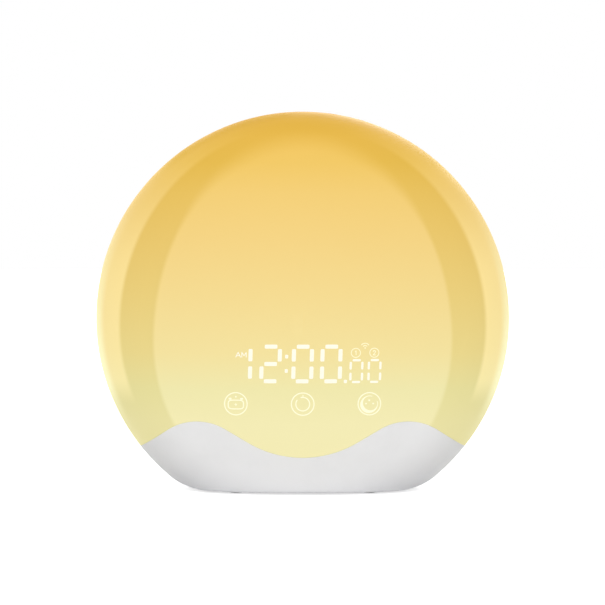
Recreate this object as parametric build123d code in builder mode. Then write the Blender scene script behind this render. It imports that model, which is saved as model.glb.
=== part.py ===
from build123d import *

import os
from math import acos, atan2, cos, degrees, hypot, pi, radians, sin, sqrt, tan

os.makedirs("parts", exist_ok=True)

# A sunrise alarm clock: a lens-shaped case that stands on a flat cut-off underside.
# Three shells make the case: a milky front diffuser, a white base cover whose top edge is a
# wave, and a white rear housing. Behind the diffuser are an egg-shaped light chamber with its
# LED board and a clock display with three touch sensors. The rear housing carries a speaker,
# five keys and the power socket, and the underside has a turn-to-open coin cell cover.
#
# Millimetres. X is to the right of someone facing the clock, Y runs from front to rear and
# Z is up. The origin is on the table, under the middle of the clock.

# ---------------------------------------------------------------- driving dimensions
# Case
case_radius = 95.0            # of the round outline, seen from the front
case_depth = 86.0             # from the front dome's middle to the rear dome's
rim_radius = 32.0             # of the rounding that joins the two domes
base_cut = 17.1               # height of the slice cut off the circle to make the underside
base_corner_radius = 34.0     # of the outline where the underside turns up into the circle
corner_bite = 0.4             # how far that corner stands out past a tangent one
base_edge_radius = 2.0        # of the rounded edge round the underside
wall = 2.4                    # of all three shells
parting_y = 8.0               # depth of the plane between the front shells and the rear one
foot_stand = 1.0              # how far the feet hold the underside off the table

# Clearances
seam = 0.1                    # between the edges of two shells
fit = 0.15                    # between nested pieces that don't move
running = 0.3                 # round pieces that move

# Lips behind the seams
lip_thickness = 1.2
lip_height = 4.0
lip_root = 3.0                # how far a lip runs back along its own shell

# Wave edge of the base cover: a zigzag with rounded corners, its heights above the underside
wave_crest_x = 48.3
wave_high = 37.7
wave_low = 8.95
wave_trough_radius = 48.0
wave_crest_radius = 24.3
wave_end_margin = 5.0         # the zigzag's ends stand this far inside the outline's width
rib_thickness = 1.6           # under the screw bosses
post_sunk = 0.5               # posts end this far inside the outer surface

# Light chamber: a tub whose wall tapers from a wide ellipse at its back to a narrower front
chamber_back_y = 5.0          # front face of the back wall
chamber_back = 1.8
chamber_wall = 1.6
chamber_rear_side = 12.1      # from the outline's side to the wall, at the back wall
chamber_rear_top = 9.0
chamber_rear_drop = 4.5       # the ellipse's centre is this far below the outline's centre
chamber_front_side = 31.3
chamber_front_top = 15.8
chamber_front_drop = 9.0
chamber_front_set = 7.0       # the front ellipse stands this far behind the front dome
chamber_floor = 22.0          # height of the chamber's floor above the underside
led_board_thickness = 1.6
led_size = (3.5, 2.8, 0.8)
led_rings = ((0.90, 26), (0.66, 18), (0.42, 12))
led_keep_off = 3.0            # from the display carrier to the nearest chip
led_margin = 0.5              # between the LED board's edge and the chamber's wall
led_boss = 3.0                # height of the LED board screws' bosses behind the back wall
led_screws = ((0.62, 62.0), (0.70, 118.0), (0.86, 6.0), (0.86, 174.0))
cable_slot = (16.0, 3.0)
cable_rise = 4.0              # of the flat cable above the display's middle
cable_width = 12.0
cable_thickness = 0.3
cable_bend = 6.0
connector_size = (15.0, 3.6, 2.8)     # of the cable's connectors, the last off the board

# Display: its middle is given as a height above the underside
display_width = 80.0
display_height = 41.0
display_middle = 53.5
display_corner = 4.0
display_thickness = 13.5      # from the dome's inside at its middle back to the display board
film_thickness = 0.25
display_board_thickness = 1.6
carrier_wall = 1.6
carrier_screw_inset = 4.2
peg_radius = 0.7              # of the pegs that place the carrier in the LED board
peg_rise = 12.0               # above and below the display's middle
display_led_share = 0.4       # of a bar's narrow side, for the chip behind it
mark_led = (1.6, 0.8)
digit_base = 51.3             # height of the figures' lower edge above the underside
digit_height = 17.7
digit_width = 10.1
digit_stroke = 2.1
digit_slant = 1.7             # degrees off upright
digit_lefts = (-19.35, -5.2, 7.6)
ten_hours_left = -32.4        # the first place, of which only the two right bars exist
colon_x = -7.1
colon_rise = (5.6, 12.0)
point_x = 19.2
small_digit_height = 10.9
small_digit_width = 6.3
small_digit_stroke = 1.2
small_digit_lefts = (21.0, 29.25)
well_wall = 0.25              # each light well is this much smaller than its bar, all round
mark_rise = 13.8              # the two alarm marks' centres above the figures' lower edge
mark_xs = (24.1, 32.5)
mark_radius = 2.2
touch_spacing = 30.1
touch_height = 41.5           # of the touch rings' centres above the underside
touch_outer = 7.8
touch_inner = 6.3

# Rear keys
key_names = ("menu", "down", "up", "alarm", "sound")
key_pitch = 16.0
key_rise = 42.0               # above the outline's centre
key_radius = 4.5
key_proud = 0.8               # how far a key stands out of the dome
key_edge = 0.5
key_flange = 1.1              # how far its flange reaches past the cap, and its thickness
key_stem_radius = 1.6
key_travel = 0.5
key_mouth_edge = 0.3          # rounding of each key's opening in the rear housing
guide_wall = 1.4
guide_length = 2.4
switch_size = 6.0
switch_height = 3.5
plunger_radius = 1.75
plunger_height = 1.5          # above the switch's body
plunger_depth = 1.5           # inside it

# Circuit boards in the rear housing
board_y = 18.0                # front face of both boards
board_thickness = 1.6
key_board_height = 15.0
main_board_width = 66.0
main_board_height = 33.0
main_board_middle = 32.5      # above the underside
board_boss_radius = 2.8
board_screw_inset = 4.0
board_corner = 2.0
module_size = (16.0, 13.0, 2.6)
module_offset = (-19.0, 3.0)  # of the radio module from the main board's middle
module_corner = 0.8
chip_size = (7.0, 7.0, 1.2)
chip_offsets = ((20.0, 5.0), (8.0, -3.0))
capacitor_radius = 2.5
capacitor_height = 5.4
capacitor_offsets = ((-8.0, -1.0), (24.0, -7.0))
passive_size = (1.6, 0.8, 0.6)
passive_pitch = (4.0, 2.4)
passive_counts = (6, 3)
passive_offset = (2.0, 8.5)   # of their middle from the main board's
small_edge = 0.4              # rounding of small moulded and pressed pieces

# Power socket, a USB type C receptacle
socket_height = 19.0          # above the underside
socket_width = 8.94
socket_thickness = 3.26
socket_skin = 0.3             # thickness of its shell
socket_plug = 1.2             # of the moulding behind the tongue
tongue_set = 0.8              # how far the tongue ends inside the shell's mouth
tongue_width = 6.7
tongue_thickness = 0.7
pocket_width = 15.0
pocket_height = 9.5
pocket_depth_y = 27.0         # of the pocket's floor
pocket_wall = 2.0
pocket_corner = 3.0
pocket_mouth_edge = 0.8       # rounding of the pocket's mouth

# Speaker
speaker_radius = 25.0
speaker_ear = 3.5             # radius of the four screw ears
ear_share = 0.6               # of that radius, from the flange's edge to the ear's screw
ear_overlap = 1.0
seat_drop = 3.1               # from the rear dome's inside to the speaker's seat
gasket_thickness = 0.8
gasket_width = 3.3
basket_thickness = 1.0
basket_depth = 11.0
basket_legs = 6
basket_leg = 3.0
motor_radius = 12.5
motor_plate = 1.5
magnet_height = 5.0
magnet_set = 1.0              # how far the magnet's hole is wider than the top plate's
gap_radius = 7.0
pole_radius = 5.9
coil_inner = 6.25
coil_outer = 6.65
cone_radius = 16.0
cone_lip = 1.5
cone_neck = 2.0               # from the top plate to the cone's neck
paper = 0.5                   # thickness of the cone and the cap
cap_overhang = 1.0            # how far the dust cap reaches past the coil
cap_rise = 3.2
surround_roll = 1.25
surround_thickness = 0.3
cone_travel = 0.6
grille_radius = 24.0
grille_thickness = 1.8
grille_ledge = 4.0
grille_hole = 1.3
grille_pitch = 4.4
grille_rings = 4

# Screws
screw_radius = 1.5
screw_head = 2.8
screw_head_height = 2.2
pillar_radius = 5.0
boss_radius = 4.0
boss_length = 7.2
screw_floor = 4.0             # material under a screw's head
screw_socket = 1.5            # radius of the hexagon in a housing screw's head
pilot_room = 1.0              # how far a pilot hole runs on past its screw
chamber_screws = ((58.0, 45.0), (62.0, -30.0))     # beside and above the outline's centre
gusset_reach = 12.0           # of the plate that ties a chamber pillar to the rim
base_screw_x = 40.0
base_screw_height = 11.0      # above the underside
small_screw_radius = 1.0
small_screw_head = 1.9
small_screw_head_height = 1.3
ear_pilot = 2.8               # depth of the speaker screws' holes, which leave a skin outside

# Coin cell, its bay and its cover
bay_clear = 0.2               # from the bay's wall to the rear housing's lip
cell_radius = 10.0
cell_height = 3.2
cover_margin = 1.9            # of the cover's radius over the cell's
lug_reach = 1.5
lug_thickness = 1.0
lug_angle = 30.0
lug_count = 3
cover_turn = 45.0             # from locked to free, clockwise seen from above
bay_slack = 0.5               # between the lugs and the bay's wall
bay_wall = 1.4
bay_roof = 1.4
coin_slot = (13.0, 2.2, 1.3)
cover_edge = 0.3              # rounding of the cover's lower edge
cell_rim = 1.8                # width of the step round the cell's cap
contact_radius = 5.0
contact_dimple = 1.2
contact_thickness = 0.3
contact_room = 1.2
clip_turn = 180.0             # place of the clip beside the cell, round from the right
clip_width = 5.0
clip_reach = 2.6              # of its foot, out along the bay's roof

# Feet
foot_radius = 4.0
foot_x = 30.0
foot_sunk = 0.9
foot_margin = 0.6             # from a foot to the parting plane

# ---------------------------------------------------------------- sizes that follow
half_depth = case_depth / 2
rim_centre = case_radius - rim_radius
dome_radius = (half_depth**2 + rim_centre**2 - rim_radius**2) / (2 * (half_depth - rim_radius))
dome_centre = dome_radius - half_depth
dome_meet = degrees(atan2(dome_centre, rim_centre))
underside = foot_stand
centre_z = underside + case_radius - base_cut
base_flat = sqrt(
    (case_radius - base_corner_radius + corner_bite) ** 2
    - (case_radius - base_cut - base_corner_radius) ** 2
)
far = 2 * case_depth          # reaches past the whole case from any plane in it


def upright(y):
    """A plane at depth y that faces the front, with its own Y axis pointing up."""
    return Plane(origin=(0, y, 0), x_dir=(1, 0, 0), z_dir=(0, -1, 0))


def level(z):
    """A plane at height z that faces up."""
    return Plane.XY.offset(z)


def axis_plane():
    """The plane through the case's axis in which turned pieces are drawn, radius by depth."""
    return Plane(origin=(0, 0, centre_z), x_dir=(0, 0, -1), z_dir=(1, 0, 0))


case_axis = Axis((0, 0, centre_z), (0, 1, 0))


def dome_y(radius, inset):
    """How far the dome's surface, moved in by inset, stands from the middle at that radius."""
    if radius <= (dome_radius - inset) * rim_centre / hypot(dome_centre, rim_centre):
        return sqrt((dome_radius - inset) ** 2 - radius**2) - dome_centre
    return sqrt(max((rim_radius - inset) ** 2 - (radius - rim_centre) ** 2, 0))


def finish(part, name):
    """Names a finished piece and writes it."""
    part.label = name
    export_step(part, f"parts/{name}.step")


# ---------------------------------------------------------------- forms that shells share
def case_form(inset, edge_radius=0.0):
    """The case as one closed form, its whole surface moved in by inset.

    Two domes and the rim's rounding are turned about the case's axis, and the slice under
    the underside is cut off with its turned-up corners.
    """
    low = underside + inset
    corner = base_corner_radius - inset
    with BuildPart() as form:
        with BuildSketch(axis_plane()):
            with BuildLine():
                front = CenterArc((0, dome_centre), dome_radius - inset, -90, 90 - dome_meet)
                CenterArc((rim_centre, 0), rim_radius - inset, -dome_meet, 2 * dome_meet)
                rear = CenterArc((0, -dome_centre), dome_radius - inset, dome_meet, 90 - dome_meet)
                Line(rear @ 1, front @ 0)
            make_face()
        revolve(axis=case_axis, revolution_arc=360)
        with BuildSketch(upright(case_depth)):
            with BuildLine():
                Line((0, low), (base_flat, low))
                turn = CenterArc((base_flat, low + corner), corner, -90, 45)
                side = PolarLine(turn @ 1, case_radius / 2, 45)
                Polyline(side @ 1, ((side @ 1).X, -case_radius), (0, -case_radius))
                mirror(about=Plane.YZ)
            make_face()
        extrude(amount=far, mode=Mode.SUBTRACT)
        if edge_radius:
            brim = form.edges().filter_by(lambda e: e.bounding_box().max.Z < low + corner / 2)
            fillet(brim.filter_by(Axis.Y, reverse=True), edge_radius)
    return form.part


def wave_form(rise):
    """Everything under the wave edge and in front of the parting, the edge lifted by rise."""
    end_x = case_radius - wave_end_margin
    base = underside + rise
    with BuildPart() as form:
        with BuildSketch(upright(parting_y)):
            with BuildLine():
                edge = FilletPolyline(
                    (-end_x, base + wave_low),
                    (-wave_crest_x, base + wave_high),
                    (0, base + wave_low),
                    (wave_crest_x, base + wave_high),
                    (end_x, base + wave_low),
                    radius=[wave_crest_radius, wave_trough_radius, wave_crest_radius],
                )
                Polyline(edge @ 1, (end_x, -case_radius), (-end_x, -case_radius), edge @ 0)
            make_face()
        extrude(amount=far)
    return form.part


def slab(y_front, y_rear):
    """Everything between two depths."""
    with BuildPart() as form:
        with BuildSketch(upright(y_rear)):
            with Locations((0, centre_z)):
                Rectangle(3 * case_radius, 3 * case_radius)
        extrude(amount=y_rear - y_front)
    return form.part


def posts(places, radius, y_front):
    """Round posts from y_front back into the rear dome's wall."""
    with BuildPart() as form:
        with BuildSketch(upright(y_front)):
            with Locations(*places):
                Circle(radius)
        extrude(amount=-far)
        add(post_limit, mode=Mode.INTERSECT)
    return form.part


def dome_disc(radius, deep, shallow):
    """A round piece of the rear dome about the case's axis, between the insets deep and shallow."""
    near = dome_radius - deep
    out = dome_radius - shallow
    near_turn = degrees(acos(radius / near))
    out_turn = degrees(acos(radius / out))
    with BuildPart() as form:
        with BuildSketch(axis_plane()):
            with BuildLine():
                under = CenterArc((0, -dome_centre), near, near_turn, 90 - near_turn)
                over = CenterArc((0, -dome_centre), out, out_turn, 90 - out_turn)
                Line(under @ 0, over @ 0)
                Line(under @ 1, over @ 1)
            make_face()
        revolve(axis=case_axis, revolution_arc=360)
    return form.part


def chamber_section(y, inset):
    """Half width, half height and centre height of the chamber's ellipse at depth y."""
    y_rear = chamber_back_y + chamber_back
    y_front = chamber_front_set - half_depth
    share = (y_rear - y) / (y_rear - y_front)
    side = chamber_rear_side + (chamber_front_side - chamber_rear_side) * share
    top = chamber_rear_top + (chamber_front_top - chamber_rear_top) * share
    drop = chamber_rear_drop + (chamber_front_drop - chamber_rear_drop) * share
    half_height = case_radius - top + drop
    return case_radius - side - inset, half_height - inset, centre_z - drop


def chamber_form(inset, y_rear):
    """The chamber's tapered body from y_rear forwards, its wall moved in by inset."""
    with BuildPart() as form:
        for y in (y_rear, chamber_front_set - half_depth):
            width, height, middle = chamber_section(y, inset)
            with BuildSketch(upright(y)):
                with Locations((0, middle)):
                    Ellipse(width, height)
        loft()
        split(bisect_by=level(underside + chamber_floor + inset), keep=Keep.TOP)
    return form.part


def mirrored(x, z):
    """The places (x, z) and (-x, z)."""
    return [(x, z), (-x, z)]


case_outside = case_form(0, base_edge_radius)
case_inside = case_form(wall)
lip_outside = case_form(wall + fit)
lip_inside = case_form(wall + fit + lip_thickness)
lip_join = case_form(wall / 2)
room_inside = case_form(wall + 2 * fit + film_thickness)
post_limit = case_form(post_sunk)
tunnel_limit = case_form(wall / 4)
film_inside = case_form(wall + fit + film_thickness)
grille_blank = dome_disc(grille_radius, grille_thickness, 0)
grille_seat = dome_disc(grille_radius + fit, grille_thickness + fit / 2, -wall)
key_crown = case_form(-key_proud)
deep_inside = case_form(wall + fit + lip_thickness + running)
under_wave = wave_form(0)
under_seam = wave_form(seam)
under_lip = wave_form(lip_height)
under_root = wave_form(-lip_root)
lip_room = wave_form(lip_height + running)

# ---------------------------------------------------------------- where things stand
lip_front_y = parting_y - lip_height
chamber_screw_places = [
    place for x, z in chamber_screws for place in mirrored(x, centre_z + z)
]
chamber_boss_end = chamber_back_y + chamber_back + boss_length
base_screw_places = mirrored(base_screw_x, underside + base_screw_height)
led_board_front = chamber_back_y - led_board_thickness

display_z = underside + display_middle
display_board_front = -(half_depth - wall - display_thickness)
display_board_back = display_board_front + display_board_thickness
carrier_screw_low = display_z - display_height / 2 + carrier_screw_inset
carrier_screw_high = display_z + display_height / 2 - carrier_screw_inset
carrier_screw_places = mirrored(touch_spacing / 2, carrier_screw_low) + mirrored(
    display_width / 2 - carrier_screw_inset, carrier_screw_high
)
peg_x = (display_width - carrier_wall) / 2
peg_places = mirrored(peg_x, display_z + peg_rise) + mirrored(peg_x, display_z - peg_rise)
touch_z = underside + touch_height
touch_xs = (-touch_spacing, 0.0, touch_spacing)

key_z = centre_z + key_rise
key_xs = [key_pitch * (i - (len(key_names) - 1) / 2) for i in range(len(key_names))]
guide_front_y = dome_y(hypot(key_xs[-1] + key_radius, key_rise + key_radius), wall) - guide_length
flange_rear_y = guide_front_y - fit
board_back = board_y + board_thickness
switch_top = board_back + switch_height
plunger_top = switch_top + plunger_height

socket_z = underside + socket_height
socket_end = pocket_depth_y - fit
main_board_z = underside + main_board_middle
main_screw_x = main_board_width / 2 - board_screw_inset
main_screw_rise = main_board_height / 2 - board_screw_inset
main_screw_places = mirrored(main_screw_x, main_board_z + main_screw_rise) + mirrored(
    main_screw_x, main_board_z - main_screw_rise
)
key_screw_x = key_xs[-1] + key_radius + running + guide_wall + board_boss_radius + 2 * running
key_board_width = 2 * (key_screw_x + board_screw_inset)
key_screw_places = mirrored(key_screw_x, key_z) + [
    (0.0, key_z + key_board_height / 2 + board_screw_inset / 2)
]

seat_y = half_depth - wall - seat_drop
flange_y = seat_y - gasket_thickness          # rear face of the speaker's basket
motor_y = flange_y - basket_thickness - basket_depth
ear_radius = speaker_radius + speaker_ear * ear_share
ear_places = [
    (ear_radius * cos(radians(a)), centre_z + ear_radius * sin(radians(a)))
    for a in (45, 135, 225, 315)
]

cover_top = underside + wall
lug_z = cover_top + running
cell_z = lug_z + lug_thickness + running
cover_radius = cell_radius + cover_margin
bay_inner = cover_radius + lug_reach + bay_slack
bay_y = lip_front_y - bay_clear - bay_wall - bay_inner
bay_top = cell_z + cell_height + contact_room

rear_foot_y = parting_y + seam + foot_margin + foot_radius
foot_places = {
    "front_left": (-foot_x, -rear_foot_y),
    "front_right": (foot_x, -rear_foot_y),
    "rear_left": (-foot_x, rear_foot_y),
    "rear_right": (foot_x, rear_foot_y),
}

# ---------------------------------------------------------------- front diffuser
# The milky dome above the wave edge.
with BuildPart() as front_diffuser:
    add(case_outside)
    add(case_inside, mode=Mode.SUBTRACT)
    split(bisect_by=upright(parting_y), keep=Keep.TOP)
    add(under_seam, mode=Mode.SUBTRACT)
finish(front_diffuser.part, "front_diffuser")

# ---------------------------------------------------------------- base cover
# A lip stands up behind the diffuser's lower edge, and a round bay for the coin cell and two
# screw bosses stand on its floor.
with BuildPart() as lip_foot:
    add(lip_join)
    add(under_wave, mode=Mode.INTERSECT)

with BuildPart() as wave_lip:
    add(lip_outside)
    add(under_lip, mode=Mode.INTERSECT)
    add(lip_foot.part)
    add(lip_inside, mode=Mode.SUBTRACT)
    add(under_root, mode=Mode.SUBTRACT)
    split(bisect_by=upright(lip_front_y - running), keep=Keep.TOP)

with BuildPart() as bay:
    with BuildSketch(level(underside + wall / 2)):
        with Locations((0, bay_y)):
            Circle(bay_inner + bay_wall)
    extrude(amount=bay_top + bay_roof - underside - wall / 2)
    with BuildSketch(level(cover_top)):
        with Locations((0, bay_y)):
            Circle(bay_inner)
    extrude(amount=bay_top - cover_top, mode=Mode.SUBTRACT)
    with BuildSketch(level(cell_z + fit)):
        with Locations((0, bay_y)):
            with PolarLocations((cell_radius + fit + bay_inner) / 2 + fit, lug_count):
                Rectangle(bay_inner - cell_radius, bay_wall)
    extrude(amount=bay_top - cell_z)
    add(case_outside, mode=Mode.INTERSECT)

with BuildPart() as base_cover:
    add(case_outside)
    add(case_inside, mode=Mode.SUBTRACT)
    split(bisect_by=upright(parting_y), keep=Keep.TOP)
    add(under_wave, mode=Mode.INTERSECT)
    add(wave_lip.part)
    add(bay.part)
    with BuildSketch(upright(parting_y)):
        with Locations(*base_screw_places):
            Circle(boss_radius)
    extrude(amount=boss_length)
    with BuildSketch(upright(lip_front_y - running)):
        for x, z in base_screw_places:
            with Locations((x, (z + underside + wall / 2) / 2)):
                Rectangle(rib_thickness, z - underside - wall / 2)
    extrude(amount=boss_length - lip_height - running)
    with BuildSketch(upright(parting_y)):
        with Locations(*base_screw_places):
            Circle(screw_radius)
    extrude(amount=boss_length - rib_thickness, mode=Mode.SUBTRACT)
    with BuildSketch(level(underside)):
        with Locations((0, bay_y)):
            Circle(cover_radius + running)
            with PolarLocations(cover_radius, lug_count, start_angle=-cover_turn):
                Rectangle(
                    2 * (lug_reach + running),
                    2 * cover_radius * sin(radians(lug_angle / 2)) + 4 * running,
                )
    extrude(amount=wall + running, mode=Mode.SUBTRACT)
    with BuildSketch(level(underside)):
        with Locations(foot_places["front_left"], foot_places["front_right"]):
            Circle(foot_radius + fit)
    extrude(amount=foot_sunk, mode=Mode.SUBTRACT)
finish(base_cover.part, "base_cover")

# ---------------------------------------------------------------- rear housing
# Its lip stands forward inside the two front shells. Pillars for the housing screws, posts for
# the boards, guides for the keys, the speaker's seat and the socket's pocket stand on its wall.
# A gusset ties each of the upper and outer pillars to the rim.
rear_space = slab(parting_y + seam, far)
lip_space = slab(lip_front_y, parting_y + lip_root)

with BuildPart() as rear_lip_root:
    add(lip_join)
    add(rear_space, mode=Mode.INTERSECT)

with BuildPart() as rear_lip:
    add(lip_outside)
    add(rear_lip_root.part)
    add(lip_inside, mode=Mode.SUBTRACT)
    add(lip_space, mode=Mode.INTERSECT)

tunnel_width = pocket_width + 2 * pocket_wall
tunnel_height = pocket_height + 2 * pocket_wall
with BuildPart() as socket_tunnel:
    with BuildSketch(upright(pocket_depth_y - pocket_wall)):
        with Locations((0, socket_z)):
            RectangleRounded(tunnel_width, tunnel_height, pocket_corner + pocket_wall)
    extrude(amount=-far)
    add(tunnel_limit, mode=Mode.INTERSECT)

with BuildPart() as gussets:
    with BuildSketch(upright(chamber_boss_end + fit + screw_floor)):
        for x, z in chamber_screw_places:
            with Locations(Location((x, z, 0), (0, 0, degrees(atan2(z - centre_z, x))))):
                Rectangle(gusset_reach, rib_thickness, align=(Align.MIN, Align.CENTER))
    extrude(amount=-far)
    add(post_limit, mode=Mode.INTERSECT)

board_screw_places = main_screw_places + key_screw_places
key_places = [(x, key_z) for x in key_xs]
chamber_pillars = posts(chamber_screw_places, pillar_radius, chamber_boss_end + fit)
base_pillars = posts(base_screw_places, pillar_radius, parting_y + seam + fit)
board_posts = posts(board_screw_places, board_boss_radius, board_back)
key_guides = posts(key_places, key_radius + running + guide_wall, guide_front_y)
speaker_seat = posts([(0, centre_z)], speaker_radius, seat_y)
ear_seats = posts(ear_places, speaker_ear, seat_y)

with BuildPart() as rear_housing:
    add(case_outside)
    add(case_inside, mode=Mode.SUBTRACT)
    split(bisect_by=upright(parting_y + seam), keep=Keep.BOTTOM)
    add(rear_lip.part)
    add(chamber_pillars)
    add(gussets.part)
    add(base_pillars)
    add(board_posts)
    add(key_guides)
    add(speaker_seat)
    add(ear_seats)
    add(socket_tunnel.part)
    with BuildSketch(upright(chamber_boss_end)):
        with Locations(*chamber_screw_places):
            Circle(screw_radius + fit)
    extrude(amount=-far, mode=Mode.SUBTRACT)
    with BuildSketch(upright(chamber_boss_end + fit + screw_floor)):
        with Locations(*chamber_screw_places):
            Circle(screw_head + running)
    extrude(amount=-far, mode=Mode.SUBTRACT)
    with BuildSketch(upright(parting_y)):
        with Locations(*base_screw_places):
            Circle(screw_radius + fit)
    extrude(amount=-far, mode=Mode.SUBTRACT)
    with BuildSketch(upright(parting_y + seam + fit + screw_floor)):
        with Locations(*base_screw_places):
            Circle(screw_head + running)
    extrude(amount=-far, mode=Mode.SUBTRACT)
    with BuildSketch(upright(board_back)):
        with Locations(*board_screw_places):
            Circle(small_screw_radius)
    extrude(amount=-(screw_floor + pilot_room), mode=Mode.SUBTRACT)
    with BuildSketch(upright(guide_front_y)):
        with Locations(*key_places):
            Circle(key_radius + running)
    extrude(amount=-far, mode=Mode.SUBTRACT)
    fillet(rear_housing.edges(Select.LAST).filter_by(GeomType.BSPLINE), key_mouth_edge)
    with BuildSketch(upright(seat_y)):
        with Locations((0, centre_z)):
            Circle(grille_radius - grille_ledge)
    extrude(amount=-far, mode=Mode.SUBTRACT)
    add(grille_seat, mode=Mode.SUBTRACT)
    with BuildSketch(upright(seat_y)):
        with Locations(*ear_places):
            Circle(small_screw_radius)
    extrude(amount=-ear_pilot, mode=Mode.SUBTRACT)
    with BuildSketch(upright(pocket_depth_y)):
        with Locations((0, socket_z)):
            RectangleRounded(pocket_width, pocket_height, pocket_corner)
    extrude(amount=-far, mode=Mode.SUBTRACT)
    mouth = rear_housing.edges(Select.LAST).filter_by(Axis.Y, reverse=True)
    mouth = mouth.filter_by(lambda e: e.center().Y > pocket_depth_y + pocket_wall)
    fillet(mouth, pocket_mouth_edge)
    with BuildSketch(upright(pocket_depth_y - pocket_wall)):
        with Locations((0, socket_z)):
            SlotOverall(socket_width + 2 * fit, socket_thickness + 2 * fit)
    extrude(amount=-far, mode=Mode.SUBTRACT)
    with BuildSketch(level(underside)):
        with Locations(foot_places["rear_left"], foot_places["rear_right"]):
            Circle(foot_radius + fit)
    extrude(amount=foot_sunk, mode=Mode.SUBTRACT)
finish(rear_housing.part, "rear_housing")

# ---------------------------------------------------------------- feet
for place, (x, y) in foot_places.items():
    with BuildPart() as foot:
        with BuildSketch(level(0)):
            with Locations((x, y)):
                Circle(foot_radius)
        extrude(amount=underside + foot_sunk)
        fillet(foot.edges().sort_by(Axis.Z)[0], foot_stand / 3)
    finish(foot.part, f"foot_{place}")

# ---------------------------------------------------------------- light chamber and its LEDs
cable_z = display_z + cable_rise
chamber_rear_y = chamber_back_y + chamber_back
led_w, led_h, led_z = chamber_section(led_board_front, chamber_wall + led_margin)
led_screw_places = [
    (led_w * share * cos(radians(a)), led_z + led_h * share * sin(radians(a)))
    for share, a in led_screws
]

with BuildPart() as lip_keep_out:
    add(lip_room)
    add(deep_inside, mode=Mode.SUBTRACT)

chamber_outside = chamber_form(0, chamber_rear_y)
chamber_inside = chamber_form(chamber_wall, chamber_back_y)

with BuildPart() as light_chamber:
    add(chamber_outside)
    add(chamber_inside, mode=Mode.SUBTRACT)
    add(lip_outside, mode=Mode.INTERSECT)
    add(lip_keep_out.part, mode=Mode.SUBTRACT)
    with BuildSketch(upright(chamber_boss_end)):
        with Locations(*chamber_screw_places):
            Circle(boss_radius)
    extrude(amount=boss_length)
    with BuildSketch(upright(chamber_boss_end)):
        with Locations(*chamber_screw_places):
            Circle(screw_radius)
    extrude(amount=boss_length, mode=Mode.SUBTRACT)
    with BuildSketch(upright(chamber_rear_y + led_boss)):
        with Locations(*led_screw_places):
            Circle(board_boss_radius)
    extrude(amount=led_boss)
    with BuildSketch(upright(chamber_rear_y + led_boss - pilot_room)):
        with Locations(*led_screw_places):
            Circle(small_screw_radius)
    extrude(amount=chamber_back + led_boss - pilot_room, mode=Mode.SUBTRACT)
    with BuildSketch(upright(chamber_rear_y)):
        with Locations((0, cable_z)):
            SlotOverall(*cable_slot)
    extrude(amount=chamber_back, mode=Mode.SUBTRACT)
finish(light_chamber.part, "light_chamber")

with BuildPart() as led_board:
    with BuildSketch(upright(chamber_back_y)):
        with Locations((0, led_z)):
            Ellipse(led_w, led_h)
        with Locations((0, cable_z)):
            SlotOverall(*cable_slot, mode=Mode.SUBTRACT)
        with Locations(*led_screw_places):
            Circle(small_screw_radius + fit, mode=Mode.SUBTRACT)
        with Locations(*peg_places):
            Circle(peg_radius + fit, mode=Mode.SUBTRACT)
    extrude(amount=led_board_thickness)
    split(bisect_by=level(underside + chamber_floor + chamber_wall + fit), keep=Keep.TOP)
finish(led_board.part, "led_board")

with BuildPart() as led_board_screws:
    with BuildSketch(upright(led_board_front)):
        with Locations(*led_screw_places):
            Circle(small_screw_head)
    extrude(amount=small_screw_head_height)
    with BuildSketch(upright(led_board_front)):
        with Locations(*led_screw_places):
            Circle(small_screw_radius)
    extrude(amount=-(led_board_thickness + chamber_back + led_boss - 1.5 * pilot_room))
finish(led_board_screws.part, "led_board_screws")


def led_places():
    """Chips on rings that follow the board's edge, clear of the display, floor and screws."""
    keep_x = display_width / 2 + led_keep_off
    keep_z = display_z + display_height / 2 + led_keep_off
    floor_z = underside + chamber_floor + chamber_wall + led_size[1]
    places = []
    for share, count in led_rings:
        for i in range(count):
            angle = 2 * pi * (i + 0.5) / count + pi / 2
            x = led_w * share * cos(angle)
            z = led_z + led_h * share * sin(angle)
            near_screw = any(hypot(x - sx, z - sz) < 2 * led_size[0] for sx, sz in led_screw_places)
            if (abs(x) > keep_x or z > keep_z) and z > floor_z and not near_screw:
                places.append((x, z))
    return places


with BuildPart() as led_chips:
    with BuildSketch(upright(led_board_front)):
        with Locations(*led_places()):
            Rectangle(led_size[0], led_size[1])
    extrude(amount=led_size[2])
finish(led_chips.part, "led_chips")


# ---------------------------------------------------------------- display
def bars(left, width, height, stroke, which="abcdefg"):
    """The bars of one seven-bar figure: centre x, centre z above its foot, width, height."""
    side = (height - 3 * stroke) / 2
    across = width - 2 * stroke
    middle = left + width / 2
    places = {
        "a": (middle, height - stroke / 2, across, stroke),
        "b": (left + width - stroke / 2, 1.5 * stroke + 1.5 * side + stroke / 2, stroke, side),
        "c": (left + width - stroke / 2, stroke + side / 2, stroke, side),
        "d": (middle, stroke / 2, across, stroke),
        "e": (left + stroke / 2, stroke + side / 2, stroke, side),
        "f": (left + stroke / 2, 1.5 * stroke + 1.5 * side + stroke / 2, stroke, side),
        "g": (middle, height / 2, across, stroke),
    }
    return [places[name] for name in which]


def display_bars():
    """Every bar and dot of the display, leaned over by the slant."""
    found = bars(ten_hours_left, digit_width, digit_height, digit_stroke, "bc")
    for left in digit_lefts:
        found += bars(left, digit_width, digit_height, digit_stroke)
    for left in small_digit_lefts:
        found += bars(left, small_digit_width, small_digit_height, small_digit_stroke)
    found += [(colon_x, rise, digit_stroke, digit_stroke) for rise in colon_rise]
    found.append((point_x, digit_stroke / 2, digit_stroke, digit_stroke))
    lean = tan(radians(digit_slant))
    return [(x + z * lean, underside + digit_base + z, w, h) for x, z, w, h in found]


mark_places = [(x, underside + digit_base + mark_rise) for x in mark_xs]

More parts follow.
